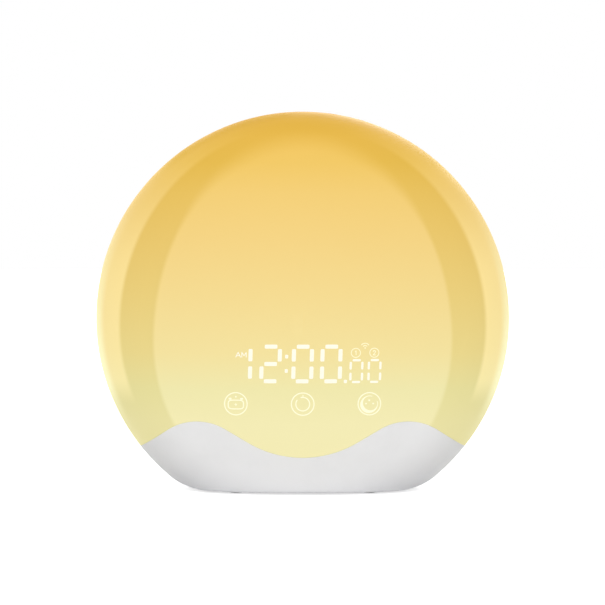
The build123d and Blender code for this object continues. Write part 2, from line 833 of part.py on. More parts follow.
with BuildPart() as display_reflector:
    with BuildSketch(upright(display_board_front)):
        with Locations((0, display_z)):
            RectangleRounded(display_width, display_height, display_corner)
    extrude(amount=half_depth)
    add(room_inside, mode=Mode.INTERSECT)
    add(lip_keep_out.part, mode=Mode.SUBTRACT)
    with BuildSketch(upright(display_board_front)):
        for x, z, w, h in display_bars():
            with Locations((x, z)):
                Rectangle(w - 2 * well_wall, h - 2 * well_wall)
        with Locations(*mark_places):
            Circle(mark_radius)
        with Locations(*[(x, touch_z) for x in touch_xs]):
            Circle(touch_outer + fit)
    extrude(amount=half_depth, mode=Mode.SUBTRACT)
    with BuildSketch(upright(display_board_front)):
        with Locations(*carrier_screw_places):
            Circle(small_screw_radius)
    extrude(amount=screw_floor, mode=Mode.SUBTRACT)
finish(display_reflector.part, "display_reflector")

with BuildPart() as display_film:
    with BuildSketch(upright(display_board_front)):
        with Locations((0, display_z)):
            RectangleRounded(display_width, display_height, display_corner)
    extrude(amount=half_depth)
    add(lip_outside, mode=Mode.INTERSECT)
    add(film_inside, mode=Mode.SUBTRACT)
    add(lip_keep_out.part, mode=Mode.SUBTRACT)
finish(display_film.part, "display_film")

with BuildPart() as display_board:
    with BuildSketch(upright(display_board_back)):
        with Locations((0, display_z)):
            RectangleRounded(display_width, display_height, display_corner)
        with Locations(*carrier_screw_places):
            Circle(small_screw_radius + fit, mode=Mode.SUBTRACT)
    extrude(amount=display_board_thickness)
finish(display_board.part, "display_board")

with BuildPart() as display_leds:
    with BuildSketch(upright(display_board_front)):
        for x, z, w, h in display_bars():
            with Locations((x, z)):
                Rectangle(min(w, h) * display_led_share, min(w, h) * display_led_share)
        with Locations(*mark_places):
            Rectangle(*mark_led)
        with Locations(*[(x, touch_z) for x in touch_xs]):
            Rectangle(led_size[0], led_size[1])
    extrude(amount=led_size[2])
finish(display_leds.part, "display_leds")

for name, x in zip(("left", "middle", "right"), touch_xs):
    with BuildPart() as touch_ring:
        with BuildSketch(upright(display_board_front)):
            with Locations((x, touch_z)):
                Circle(touch_outer)
                Circle(touch_inner, mode=Mode.SUBTRACT)
        extrude(amount=half_depth)
        add(room_inside, mode=Mode.INTERSECT)
    finish(touch_ring.part, f"touch_ring_{name}")

with BuildPart() as display_carrier:
    with BuildSketch(upright(led_board_front)):
        with Locations((0, display_z)):
            RectangleRounded(display_width, display_height, display_corner)
            RectangleRounded(
                display_width - 2 * carrier_wall,
                display_height - 2 * carrier_wall,
                display_corner - carrier_wall,
                mode=Mode.SUBTRACT,
            )
    extrude(amount=led_board_front - display_board_back)
    with BuildSketch(upright(led_board_front)):
        with Locations(*peg_places):
            Circle(peg_radius)
    extrude(amount=-(led_board_thickness - fit))
    with BuildSketch(upright(display_board_back + screw_floor)):
        with Locations(*carrier_screw_places):
            Circle(board_boss_radius)
    extrude(amount=screw_floor)
    with BuildSketch(upright(display_board_back + screw_floor)):
        with Locations(*carrier_screw_places):
            Circle(small_screw_radius + fit)
    extrude(amount=screw_floor, mode=Mode.SUBTRACT)
finish(display_carrier.part, "display_carrier")

with BuildPart() as display_screws:
    with BuildSketch(upright(display_board_back + screw_floor)):
        with Locations(*carrier_screw_places):
            Circle(small_screw_radius)
    extrude(amount=2 * screw_floor)
    with BuildSketch(upright(display_board_back + screw_floor)):
        with Locations(*carrier_screw_places):
            Circle(small_screw_head)
    extrude(amount=-small_screw_head_height)
finish(display_screws.part, "display_screws")

# The flat cable runs from the display board back through the slot to the main board. Each of
# its ends stands in a connector.
cable_low = cable_z - 2 * cable_bend
cable_drop_y = chamber_boss_end - 2 * cable_thickness
cable_end_z = main_board_z + main_board_height / 4
with BuildPart() as display_cable:
    with BuildLine(Plane.YZ):
        route = FilletPolyline(
            (display_board_back, cable_low),
            (display_board_back + 2 * cable_bend, cable_low),
            (-cable_bend, cable_z),
            (cable_drop_y, cable_z),
            (cable_drop_y, cable_end_z),
            (board_y, cable_end_z),
            radius=[cable_bend, cable_bend, cable_bend / 2, cable_bend / 4],
        )
    with BuildSketch(Plane(origin=route @ 0, x_dir=(1, 0, 0), z_dir=route % 0)):
        Rectangle(cable_width, cable_thickness)
    sweep(path=route)
finish(display_cable.part, "display_cable")

connector_width, connector_height, connector_depth = connector_size
with BuildPart() as cable_connectors:
    for y, z, depth in (
        (display_board_back, cable_low, -connector_depth),
        (board_y, cable_end_z, connector_depth),
    ):
        with BuildSketch(upright(y)):
            with Locations((0, z)):
                RectangleRounded(connector_width, connector_height, small_edge)
                Rectangle(cable_width + 2 * fit, cable_thickness + 2 * fit, mode=Mode.SUBTRACT)
        extrude(amount=depth)
finish(cable_connectors.part, "cable_connectors")

# ---------------------------------------------------------------- boards of the rear housing
with BuildPart() as main_board:
    with BuildSketch(upright(board_back)):
        with Locations((0, main_board_z)):
            RectangleRounded(main_board_width, main_board_height, board_corner)
        with Locations(*main_screw_places):
            Circle(small_screw_radius + fit, mode=Mode.SUBTRACT)
    extrude(amount=board_thickness)
finish(main_board.part, "main_board")

with BuildPart() as key_board:
    with BuildSketch(upright(board_back)):
        with Locations((0, key_z)):
            RectangleRounded(key_board_width, key_board_height, board_corner)
        with Locations(key_screw_places[2]):
            Circle(board_boss_radius + board_corner / 2)
        with Locations(*key_screw_places):
            Circle(small_screw_radius + fit, mode=Mode.SUBTRACT)
    extrude(amount=board_thickness)
finish(key_board.part, "key_board")

with BuildPart() as board_screws:
    with BuildSketch(upright(board_y)):
        with Locations(*board_screw_places):
            Circle(small_screw_head)
    extrude(amount=small_screw_head_height)
    with BuildSketch(upright(board_y)):
        with Locations(*board_screw_places):
            Circle(small_screw_radius)
    extrude(amount=-(board_thickness + screw_floor))
finish(board_screws.part, "board_screws")

with BuildPart() as radio_module:
    with BuildSketch(upright(board_back)):
        with Locations((module_offset[0], main_board_z + module_offset[1])):
            RectangleRounded(module_size[0], module_size[1], module_corner)
    extrude(amount=-module_size[2])
    fillet(radio_module.faces().sort_by(Axis.Y)[-1].edges(), small_edge)
finish(radio_module.part, "radio_module")

with BuildPart() as board_chips:
    with BuildSketch(upright(board_back)):
        with Locations(*[(x, main_board_z + z) for x, z in chip_offsets]):
            Rectangle(chip_size[0], chip_size[1])
    extrude(amount=-chip_size[2])
finish(board_chips.part, "board_chips")

with BuildPart() as board_passives:
    with BuildSketch(upright(board_back)):
        with Locations((passive_offset[0], main_board_z + passive_offset[1])):
            with GridLocations(*passive_pitch, *passive_counts):
                Rectangle(passive_size[0], passive_size[1])
    extrude(amount=-passive_size[2])
finish(board_passives.part, "board_passives")

with BuildPart() as capacitors:
    with BuildSketch(upright(board_back)):
        with Locations(*[(x, main_board_z + z) for x, z in capacitor_offsets]):
            Circle(capacitor_radius)
    extrude(amount=-capacitor_height)
    fillet(capacitors.faces().filter_by(Axis.Y).group_by(Axis.Y)[-1].edges(), small_edge)
finish(capacitors.part, "capacitors")

with BuildPart() as switch_bodies:
    with BuildSketch(upright(board_back)):
        with Locations(*key_places):
            RectangleRounded(switch_size, switch_size, small_edge)
    extrude(amount=-switch_height)
    with BuildSketch(upright(switch_top)):
        with Locations(*key_places):
            Circle(plunger_radius + fit)
    extrude(amount=plunger_depth + key_travel + fit, mode=Mode.SUBTRACT)
finish(switch_bodies.part, "switch_bodies")

# ---------------------------------------------------------------- keys
for name, x in zip(key_names, key_xs):
    with BuildPart() as key:
        with BuildSketch(upright(flange_rear_y)):
            with Locations((x, key_z)):
                Circle(key_radius)
        extrude(amount=-far)
        add(key_crown, mode=Mode.INTERSECT)
        fillet(key.faces().sort_by(Axis.Y)[-1].edges(), key_edge)
        with BuildSketch(upright(flange_rear_y)):
            with Locations((x, key_z)):
                Circle(key_radius + key_flange)
        extrude(amount=key_flange)
        with BuildSketch(upright(flange_rear_y)):
            with Locations((x, key_z)):
                Circle(key_stem_radius)
        extrude(amount=flange_rear_y - plunger_top)
    finish(key.part, f"key_{name}")

    with BuildPart() as plunger:
        with BuildSketch(upright(plunger_top)):
            with Locations((x, key_z)):
                Circle(plunger_radius)
        extrude(amount=plunger_height + plunger_depth)
    finish(plunger.part, f"plunger_{name}")

# ---------------------------------------------------------------- power socket
with BuildPart() as socket_shell:
    with BuildSketch(upright(socket_end)):
        with Locations((0, socket_z)):
            SlotOverall(socket_width, socket_thickness)
            SlotOverall(
                socket_width - 2 * socket_skin,
                socket_thickness - 2 * socket_skin,
                mode=Mode.SUBTRACT,
            )
    extrude(amount=socket_end - board_back)
finish(socket_shell.part, "socket_shell")

with BuildPart() as socket_tongue:
    with BuildSketch(upright(board_back)):
        with Locations((0, socket_z)):
            SlotOverall(socket_width - 2 * socket_skin, socket_thickness - 2 * socket_skin)
    extrude(amount=-socket_plug)
    with BuildSketch(upright(board_back)):
        with Locations((0, socket_z)):
            Rectangle(tongue_width, tongue_thickness)
    extrude(amount=-(socket_end - board_back - tongue_set))
finish(socket_tongue.part, "socket_tongue")

# ---------------------------------------------------------------- speaker
with BuildPart() as speaker_grille:
    add(grille_blank)
    with BuildSketch(upright(0)):
        with Locations((0, centre_z)):
            Circle(grille_hole)
            for ring in range(1, grille_rings + 1):
                with PolarLocations(ring * grille_pitch, 6 * ring):
                    Circle(grille_hole)
    extrude(amount=-far, mode=Mode.SUBTRACT)
finish(speaker_grille.part, "speaker_grille")

with BuildPart() as speaker_gasket:
    with BuildSketch(upright(seat_y)):
        with Locations((0, centre_z)):
            Circle(speaker_radius - fit)
            Circle(speaker_radius - fit - gasket_width, mode=Mode.SUBTRACT)
    extrude(amount=gasket_thickness)
finish(speaker_gasket.part, "speaker_gasket")

basket_inner = cone_radius + 2 * surround_roll
with BuildPart() as speaker_basket:
    with BuildSketch(axis_plane()):
        with BuildLine():
            Polyline(
                (speaker_radius, flange_y),
                (basket_inner, flange_y),
                (basket_inner, flange_y - basket_thickness),
                (motor_radius - basket_thickness, motor_y + basket_thickness),
                (gap_radius + running, motor_y + basket_thickness),
                (gap_radius + running, motor_y),
                (motor_radius, motor_y),
                (basket_inner + basket_thickness, flange_y - 2 * basket_thickness),
                (basket_inner + basket_thickness, flange_y - basket_thickness),
                (speaker_radius, flange_y - basket_thickness),
                close=True,
            )
        make_face()
    revolve(axis=case_axis, revolution_arc=360)
    with BuildSketch(upright(flange_y)):
        with Locations(*ear_places):
            Circle(speaker_ear)
        with Locations((0, centre_z)):
            Circle(speaker_radius - ear_overlap, mode=Mode.SUBTRACT)
    extrude(amount=basket_thickness)
    with BuildSketch(upright(flange_y)):
        with Locations(*ear_places):
            Circle(small_screw_radius + fit)
    extrude(amount=basket_thickness, mode=Mode.SUBTRACT)
    with BuildSketch(upright(flange_y - 2 * basket_thickness)):
        with Locations((0, centre_z)):
            Circle(basket_inner - basket_thickness)
            Circle(motor_radius + basket_thickness, mode=Mode.SUBTRACT)
            with PolarLocations(basket_inner - 2 * basket_thickness, basket_legs):
                Rectangle(basket_inner / 2, basket_leg, mode=Mode.SUBTRACT)
    extrude(amount=basket_depth, mode=Mode.SUBTRACT)
finish(speaker_basket.part, "speaker_basket")

with BuildPart() as speaker_top_plate:
    with BuildSketch(upright(motor_y)):
        with Locations((0, centre_z)):
            Circle(motor_radius)
            Circle(gap_radius, mode=Mode.SUBTRACT)
    extrude(amount=motor_plate)
finish(speaker_top_plate.part, "speaker_top_plate")

magnet_y = motor_y - motor_plate
with BuildPart() as speaker_magnet:
    with BuildSketch(upright(magnet_y)):
        with Locations((0, centre_z)):
            Circle(motor_radius - fit)
            Circle(gap_radius + magnet_set, mode=Mode.SUBTRACT)
    extrude(amount=magnet_height)
finish(speaker_magnet.part, "speaker_magnet")

yoke_y = magnet_y - magnet_height
with BuildPart() as speaker_yoke:
    with BuildSketch(upright(yoke_y)):
        with Locations((0, centre_z)):
            Circle(motor_radius)
    extrude(amount=motor_plate)
    with BuildSketch(upright(yoke_y)):
        with Locations((0, centre_z)):
            Circle(pole_radius)
    extrude(amount=-(magnet_height + motor_plate))
    fillet(speaker_yoke.edges().filter_by(GeomType.CIRCLE).sort_by(Axis.Y)[0], small_edge)
finish(speaker_yoke.part, "speaker_yoke")

# The cone, its coil and its cap move together. The rolled surround carries the cone's lip.
cone_lip_y = flange_y - surround_thickness
neck_y = motor_y + cone_neck
with BuildPart() as speaker_cone:
    with BuildSketch(axis_plane()):
        with BuildLine():
            Polyline(
                (coil_outer, neck_y),
                (coil_outer, neck_y + 2 * paper),
                (cone_radius - cone_lip, flange_y),
                (cone_radius, flange_y),
                (cone_radius, flange_y - paper),
                (cone_radius - cone_lip + paper, flange_y - paper),
                close=True,
            )
        make_face()
    revolve(axis=case_axis, revolution_arc=360)
finish(speaker_cone.part, "speaker_cone")

with BuildPart() as voice_coil:
    with BuildSketch(upright(magnet_y - cone_travel)):
        with Locations((0, centre_z)):
            Circle(coil_outer)
            Circle(coil_inner, mode=Mode.SUBTRACT)
    extrude(amount=-(neck_y + 2 * paper - magnet_y + cone_travel))
finish(voice_coil.part, "voice_coil")

cap_radius = coil_outer + cap_overhang
neck_top = neck_y + 2 * paper
cone_slope = (flange_y - neck_top) / (cone_radius - cone_lip - coil_outer)
cap_foot = neck_top + cap_overhang * cone_slope
cap_ball = (cap_radius**2 + cap_rise**2) / (2 * cap_rise)
cap_centre = cap_foot + cap_rise - cap_ball
with BuildPart() as dust_cap:
    with BuildSketch(axis_plane()):
        with BuildLine():
            outer_dip = degrees(atan2(cap_ball - cap_rise, cap_radius))
            inner_foot = sqrt((cap_ball - paper) ** 2 - (cap_ball - cap_rise) ** 2)
            inner_dip = degrees(atan2(cap_ball - cap_rise, inner_foot))
            outer = CenterArc((0, cap_centre), cap_ball, outer_dip, 90 - outer_dip)
            inner = CenterArc((0, cap_centre), cap_ball - paper, 90, inner_dip - 90)
            Line(outer @ 1, inner @ 0)
            Line(inner @ 1, outer @ 0)
        make_face()
    revolve(axis=case_axis, revolution_arc=360)
finish(dust_cap.part, "dust_cap")

roll_centre = cone_radius + surround_roll
roll_dip = degrees(atan2(surround_thickness, surround_roll + surround_thickness / 2))
with BuildPart() as speaker_surround:
    with BuildSketch(axis_plane()):
        with BuildLine():
            hollow = CenterArc((roll_centre, flange_y), surround_roll, 180, -180)
            crest = CenterArc(
                (roll_centre, flange_y),
                surround_roll + surround_thickness,
                roll_dip,
                180 - 2 * roll_dip,
            )
            Polyline(
                hollow @ 1,
                (speaker_radius - gasket_width - 4 * fit, flange_y),
                (speaker_radius - gasket_width - 4 * fit, (crest @ 0).Y),
                crest @ 0,
            )
            Polyline(
                crest @ 1,
                (cone_radius - cone_lip, (crest @ 1).Y),
                (cone_radius - cone_lip, flange_y),
                hollow @ 0,
            )
        make_face()
    revolve(axis=case_axis, revolution_arc=360)
finish(speaker_surround.part, "speaker_surround")

with BuildPart() as speaker_screws:
    with BuildSketch(upright(flange_y - basket_thickness)):
        with Locations(*ear_places):
            Circle(small_screw_head)
    extrude(amount=small_screw_head_height)
    with BuildSketch(upright(flange_y - basket_thickness)):
        with Locations(*ear_places):
            Circle(small_screw_radius)
    extrude(amount=-(basket_thickness + gasket_thickness + ear_pilot - running))
finish(speaker_screws.part, "speaker_screws")

# ---------------------------------------------------------------- housing screws
# Four reach through the rear housing's pillars into the light chamber, two into the base cover.
chamber_head_y = chamber_boss_end + fit + screw_floor
chamber_tip_y = chamber_rear_y + pilot_room
base_head_y = parting_y + seam + fit + screw_floor
base_tip_y = parting_y - boss_length + rib_thickness + pilot_room
with BuildPart() as housing_screws:
    for places, y_head, y_tip in (
        (chamber_screw_places, chamber_head_y, chamber_tip_y),
        (base_screw_places, base_head_y, base_tip_y),
    ):
        with BuildSketch(upright(y_head)):
            with Locations(*places):
                Circle(screw_head)
                RegularPolygon(screw_socket, 6, mode=Mode.SUBTRACT)
        extrude(amount=-screw_head_height)
        with BuildSketch(upright(y_head + screw_head_height / 2)):
            with Locations(*places):
                Circle(screw_radius)
        extrude(amount=y_head + screw_head_height / 2 - y_tip)
finish(housing_screws.part, "housing_screws")

# ---------------------------------------------------------------- coin cell and its cover
with BuildPart() as coin_cell:
    with BuildSketch(level(cell_z)):
        with Locations((0, bay_y)):
            Circle(cell_radius)
    extrude(amount=cell_height - contact_thickness)
    fillet(coin_cell.edges().group_by(Axis.Z)[0], contact_thickness)
    with BuildSketch(level(cell_z)):
        with Locations((0, bay_y)):
            Circle(cell_radius - cell_rim)
    extrude(amount=cell_height)
finish(coin_cell.part, "coin_cell")

with BuildPart() as cell_contact:
    with BuildSketch(level(cell_z + cell_height)):
        with Locations((0, bay_y)):
            Circle(contact_radius)
    extrude(amount=contact_thickness)
    with BuildSketch(level(cell_z + cell_height)):
        with Locations((0, bay_y)):
            Circle(contact_dimple)
    extrude(amount=contact_room)
finish(cell_contact.part, "cell_contact")

with BuildPart() as cell_clip:
    with BuildSketch(level(cell_z + fit)):
        with Locations((0, bay_y)):
            with PolarLocations(cell_radius + fit, 1, start_angle=clip_turn):
                Rectangle(contact_thickness, clip_width, align=(Align.MIN, Align.CENTER))
    extrude(amount=bay_top - cell_z - fit)
    with BuildSketch(level(bay_top - contact_thickness)):
        with Locations((0, bay_y)):
            with PolarLocations(cell_radius + fit, 1, start_angle=clip_turn):
                Rectangle(clip_reach, clip_width, align=(Align.MIN, Align.CENTER))
    extrude(amount=contact_thickness)
finish(cell_clip.part, "cell_clip")

with BuildPart() as battery_cover:
    with BuildSketch(level(underside)):
        with Locations((0, bay_y)):
            Circle(cover_radius)
    extrude(amount=wall)
    with BuildSketch(level(cover_top)):
        with Locations((0, bay_y)):
            Circle(cover_radius)
            Circle(cover_radius - lip_thickness, mode=Mode.SUBTRACT)
    extrude(amount=running + lug_thickness)
    with BuildSketch(level(lug_z)):
        with Locations((0, bay_y)):
            with PolarLocations(cover_radius, lug_count):
                Rectangle(2 * lug_reach, 2 * cover_radius * sin(radians(lug_angle / 2)))
            Circle(cover_radius + lug_reach, mode=Mode.INTERSECT)
            Circle(cover_radius - lip_thickness, mode=Mode.SUBTRACT)
    extrude(amount=lug_thickness)
    with BuildSketch(level(underside)):
        with Locations((0, bay_y)):
            SlotOverall(coin_slot[0], coin_slot[1])
    extrude(amount=coin_slot[2], mode=Mode.SUBTRACT)
    fillet(battery_cover.faces().sort_by(Axis.Z)[0].outer_wire().edges(), cover_edge)
finish(battery_cover.part, "battery_cover")
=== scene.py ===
import math

import bmesh
import bpy
import numpy as np
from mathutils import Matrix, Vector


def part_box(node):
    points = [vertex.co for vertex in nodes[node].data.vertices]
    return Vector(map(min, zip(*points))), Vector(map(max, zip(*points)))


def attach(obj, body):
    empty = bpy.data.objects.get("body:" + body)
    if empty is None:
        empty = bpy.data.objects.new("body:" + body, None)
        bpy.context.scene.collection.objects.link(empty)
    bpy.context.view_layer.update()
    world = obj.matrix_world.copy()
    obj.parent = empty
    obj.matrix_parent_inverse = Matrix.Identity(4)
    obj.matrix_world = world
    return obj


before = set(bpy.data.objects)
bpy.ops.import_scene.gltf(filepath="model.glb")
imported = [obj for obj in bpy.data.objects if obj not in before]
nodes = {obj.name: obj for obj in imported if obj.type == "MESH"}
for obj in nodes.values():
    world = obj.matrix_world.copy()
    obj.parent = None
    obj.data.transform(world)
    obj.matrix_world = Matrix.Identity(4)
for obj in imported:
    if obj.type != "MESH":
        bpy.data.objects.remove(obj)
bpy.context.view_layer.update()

# Metres. X to the right of someone facing the clock, Y from front to rear, Z up, table at z 0.
# ------------------------------------------------------------------ the case's own sizes
MM = 0.001
CENTRE_Z = 78.9 * MM          # of the round outline
CASE_RADIUS = 95 * MM
RIM_RADIUS = 32 * MM
HALF_DEPTH = 43 * MM
RIM_CENTRE = CASE_RADIUS - RIM_RADIUS
DOME_RADIUS = (HALF_DEPTH**2 + RIM_CENTRE**2 - RIM_RADIUS**2) / (2 * (HALF_DEPTH - RIM_RADIUS))
DOME_CENTRE = DOME_RADIUS - HALF_DEPTH
UNDERSIDE_Z = 1 * MM
KEY_PROUD = 0.8 * MM
COVER_Y = -11.5               # mm, of the battery cover's axis
MARK_LIFT = 0.08 * MM         # how far a lit or printed mark stands out of its surface
MARK_SINK = 0.10 * MM         # how far its back lies under it


def add_object(name, data):
    """Puts a new object with that data into the scene."""
    thing = bpy.data.objects.new(name, data)
    bpy.context.scene.collection.objects.link(thing)
    return thing


# ------------------------------------------------------------------ camera
CAMERA_RISE = math.radians(3)
CAMERA_AWAY = 1.5
FRAME_WIDTH = 0.2785          # what the frame spans at the case's middle
SENSOR = 36.0                 # mm, its width
AIM_RIGHT = -0.1 * MM         # the frame's centre from the case's middle
AIM_UP = 7.27 * MM
CLIP = (0.01, 50)


def make_camera():
    """A camera that looks along +Y from a little above, centred just over the case's middle."""
    data = bpy.data.cameras.new("view_camera")
    data.sensor_width = SENSOR
    data.lens = SENSOR * CAMERA_AWAY / FRAME_WIDTH
    data.clip_start, data.clip_end = CLIP
    camera = add_object("view_camera", data)
    back = np.array([0, -math.cos(CAMERA_RISE), math.sin(CAMERA_RISE)])
    up = np.array([0, math.sin(CAMERA_RISE), math.cos(CAMERA_RISE)])
    aim = np.array([AIM_RIGHT, 0, CENTRE_Z]) + up * AIM_UP
    camera.location = aim + back * CAMERA_AWAY
    camera.rotation_euler = (math.radians(90) - CAMERA_RISE, 0, 0)
    bpy.context.scene.camera = camera


make_camera()
bpy.context.scene.view_settings.view_transform = "Standard"


# ------------------------------------------------------------------ colours and node helpers
def srgb(red, green, blue):
    """A screen colour of 0 to 255 as linear light, with alpha 1."""
    parts = [c / 255 for c in (red, green, blue)]
    light = [c / 12.92 if c <= 0.04045 else ((c + 0.055) / 1.055) ** 2.4 for c in parts]
    return (*light, 1.0)


def put(tree, kind, **settings):
    """Adds a node with those settings."""
    node = tree.nodes.new(kind)
    for name, value in settings.items():
        setattr(node, name, value)
    return node


def fill(node, **values):
    """Sets a node's inputs by socket name, underscores for spaces."""
    for name, value in values.items():
        node.inputs[name.replace("_", " ")].default_value = value
    return node


def wire(tree, *pairs):
    """Links each (output, input) pair."""
    for start, end in pairs:
        tree.links.new(start, end)


def feed(tree, socket, value):
    """Gives a socket its value: an output is linked, anything else is set."""
    if isinstance(value, bpy.types.NodeSocket):
        wire(tree, (value, socket))
    else:
        socket.default_value = value


def maths(tree, operation, *values):
    """The result of a Math node. Each value is a number or an output."""
    node = put(tree, "ShaderNodeMath", operation=operation)
    for socket, value in zip(node.inputs, values):
        feed(tree, socket, value)
    return node.outputs[0]


def times(tree, first, second):
    """One value times another."""
    return maths(tree, "MULTIPLY", first, second)


def less(tree, value):
    """One less a value."""
    return maths(tree, "SUBTRACT", 1.0, value)


def between(tree, value, start, end):
    """A smooth step from 0 at start to 1 at end. Each end is a number or an output."""
    step = put(tree, "ShaderNodeMapRange", interpolation_type="SMOOTHSTEP")
    for label, given in (("Value", value), ("From Min", start), ("From Max", end)):
        feed(tree, step.inputs[label], given)
    return step.outputs["Result"]


def vary(tree, mask, low, high):
    """Spreads a mask of 0 to 1 between two values."""
    spread = fill(put(tree, "ShaderNodeMapRange"), To_Min=low, To_Max=high)
    wire(tree, (mask, spread.inputs["Value"]))
    return spread.outputs["Result"]


def mix_colours(tree, mask, first, second, kind="MIX"):
    """Goes from one colour to the other by a mask. Each is a colour or an output."""
    mix = put(tree, "ShaderNodeMix", data_type="RGBA", blend_type=kind)
    for socket, value in ((mix.inputs[0], mask), (mix.inputs[6], first), (mix.inputs[7], second)):
        feed(tree, socket, value)
    return mix.outputs[2]


def new_group(name, inputs, outputs):
    """An empty shader group. Its inputs are (name, kind, value), its outputs (name, kind)."""
    tree = bpy.data.node_groups.new(name, "ShaderNodeTree")
    for label, kind, value in inputs:
        socket = tree.interface.new_socket(name=label, in_out="INPUT", socket_type=kind)
        if value is not None:
            socket.default_value = value
    for label, kind in outputs:
        tree.interface.new_socket(name=label, in_out="OUTPUT", socket_type=kind)
    start = tree.nodes.new("NodeGroupInput")
    end = tree.nodes.new("NodeGroupOutput")
    return tree, start.outputs, end.inputs


FLOAT, VECTOR = "NodeSocketFloat", "NodeSocketVector"


def make_fine_grain():
    """Spark-eroded mould grain: two noises added, the second 3.7 times finer and 0.4 as high."""
    tree, given, out = new_group(
        "fine_grain", [("Vector", VECTOR, None), ("Scale", FLOAT, 2500.0)], [("Height", FLOAT)]
    )
    coarse = fill(put(tree, "ShaderNodeTexNoise"), Detail=3)
    fine = fill(put(tree, "ShaderNodeTexNoise"), Detail=1)
    wire(
        tree,
        (given["Vector"], coarse.inputs["Vector"]),
        (given["Scale"], coarse.inputs["Scale"]),
        (given["Vector"], fine.inputs["Vector"]),
        (times(tree, given["Scale"], 3.7), fine.inputs["Scale"]),
    )
    height = maths(tree, "MULTIPLY_ADD", fine.outputs["Fac"], 0.4, coarse.outputs["Fac"])
    wire(tree, (height, out["Height"]))
    return tree


def make_soft_wear():
    """Handling marks: a cloudy mask broken up by finer noise, from 0 to 1."""
    tree, given, out = new_group(
        "soft_wear", [("Vector", VECTOR, None), ("Scale", FLOAT, 40.0)], [("Mask", FLOAT)]
    )
    cloud = fill(put(tree, "ShaderNodeTexNoise"), Detail=6, Roughness=0.62)
    wire(
        tree,
        (given["Vector"], cloud.inputs["Vector"]),
        (given["Scale"], cloud.inputs["Scale"]),
        (between(tree, cloud.outputs["Fac"], 0.45, 0.75), out["Mask"]),
    )
    return tree


def make_hairlines():
    """Brushing or turning marks: noise stretched by a vector, from 0 to 1."""
    tree, given, out = new_group(
        "hairlines",
        [("Vector", VECTOR, None), ("Stretch", VECTOR, (200.0, 6000.0, 6000.0))],
        [("Mask", FLOAT)],
    )
    stretched = put(tree, "ShaderNodeVectorMath", operation="MULTIPLY")
    noise = fill(put(tree, "ShaderNodeTexNoise"), Scale=1, Detail=2)
    wire(
        tree,
        (given["Vector"], stretched.inputs[0]),
        (given["Stretch"], stretched.inputs[1]),
        (stretched.outputs[0], noise.inputs["Vector"]),
        (noise.outputs["Fac"], out["Mask"]),
    )
    return tree


def make_ellipse_edge():
    """How far a point is outside an upright ellipse seen from the front, 0 inside and 1 outside.

    Each coordinate is divided by the ellipse's reach in its direction. The distance is the length
    of that pair less one, times the half width, and it is spread over the edge's softness. The
    ellipse may be taller above its centre than below it.
    """
    tree, given, out = new_group(
        "ellipse_edge",
        [
            ("Across", FLOAT, 0.0),
            ("Height", FLOAT, 0.0),
            ("Centre", FLOAT, 0.0),
            ("Half width", FLOAT, 0.067),
            ("Above", FLOAT, 0.09),
            ("Below", FLOAT, 0.075),
            ("Softness", FLOAT, 0.002),
        ],
        [("Mask", FLOAT)],
    )
    rise = maths(tree, "SUBTRACT", given["Height"], given["Centre"])
    reach = put(tree, "ShaderNodeMix", data_type="FLOAT")
    wire(
        tree,
        (maths(tree, "GREATER_THAN", rise, 0.0), reach.inputs[0]),
        (given["Below"], reach.inputs[2]),
        (given["Above"], reach.inputs[3]),
    )
    up = maths(tree, "DIVIDE", rise, reach.outputs[0])
    side = maths(tree, "DIVIDE", given["Across"], given["Half width"])
    squares = maths(tree, "MULTIPLY_ADD", side, side, times(tree, up, up))
    past = maths(tree, "SUBTRACT", maths(tree, "SQRT", squares), 1.0)
    length = times(tree, past, given["Half width"])
    low = times(tree, given["Softness"], -0.5)
    high = times(tree, given["Softness"], 0.5)
    wire(tree, (between(tree, length, low, high), out["Mask"]))
    return tree


fine_grain = make_fine_grain()
soft_wear = make_soft_wear()
hairlines = make_hairlines()
ellipse_edge = make_ellipse_edge()


def new_material(name):
    """A material with its Principled shader, and the place on the piece in Object coordinates."""
    material = bpy.data.materials.new(name)
    material.use_nodes = True
    tree = material.node_tree
    shader = tree.nodes["Principled BSDF"]
    place = put(tree, "ShaderNodeTexCoord").outputs["Object"]
    return material, tree, shader, place


def use_group(tree, group, place=None, **values):
    """Places a shader group, with its own values by socket name, underscores for spaces."""
    node = fill(put(tree, "ShaderNodeGroup", node_tree=group), **values)
    if place is not None:
        wire(tree, (place, node.inputs["Vector"]))
    return node


def add_bump(tree, shader, height, strength, distance):
    """Feeds a height through a Bump into the shader's normal."""
    bump = fill(put(tree, "ShaderNodeBump"), Strength=strength, Distance=distance)
    wire(tree, (height, bump.inputs["Height"]), (bump.outputs["Normal"], shader.inputs["Normal"]))


def moulded(name, colour, worn, roughness, grain=2600.0, depth=0.25, specular=0.5):
    """Moulded plastic or rubber: mould grain, and handling marks that shift colour and gloss."""
    material, tree, shader, place = new_material(name)
    wear = use_group(tree, soft_wear, place, Scale=38.0).outputs["Mask"]
    grain_height = use_group(tree, fine_grain, place, Scale=grain).outputs["Height"]
    wire(
        tree,
        (mix_colours(tree, wear, colour, worn), shader.inputs["Base Color"]),
        (vary(tree, wear, roughness, roughness + 0.09), shader.inputs["Roughness"]),
    )
    add_bump(tree, shader, grain_height, depth, 0.05 * MM)
    fill(shader, Specular_IOR_Level=specular)
    return material


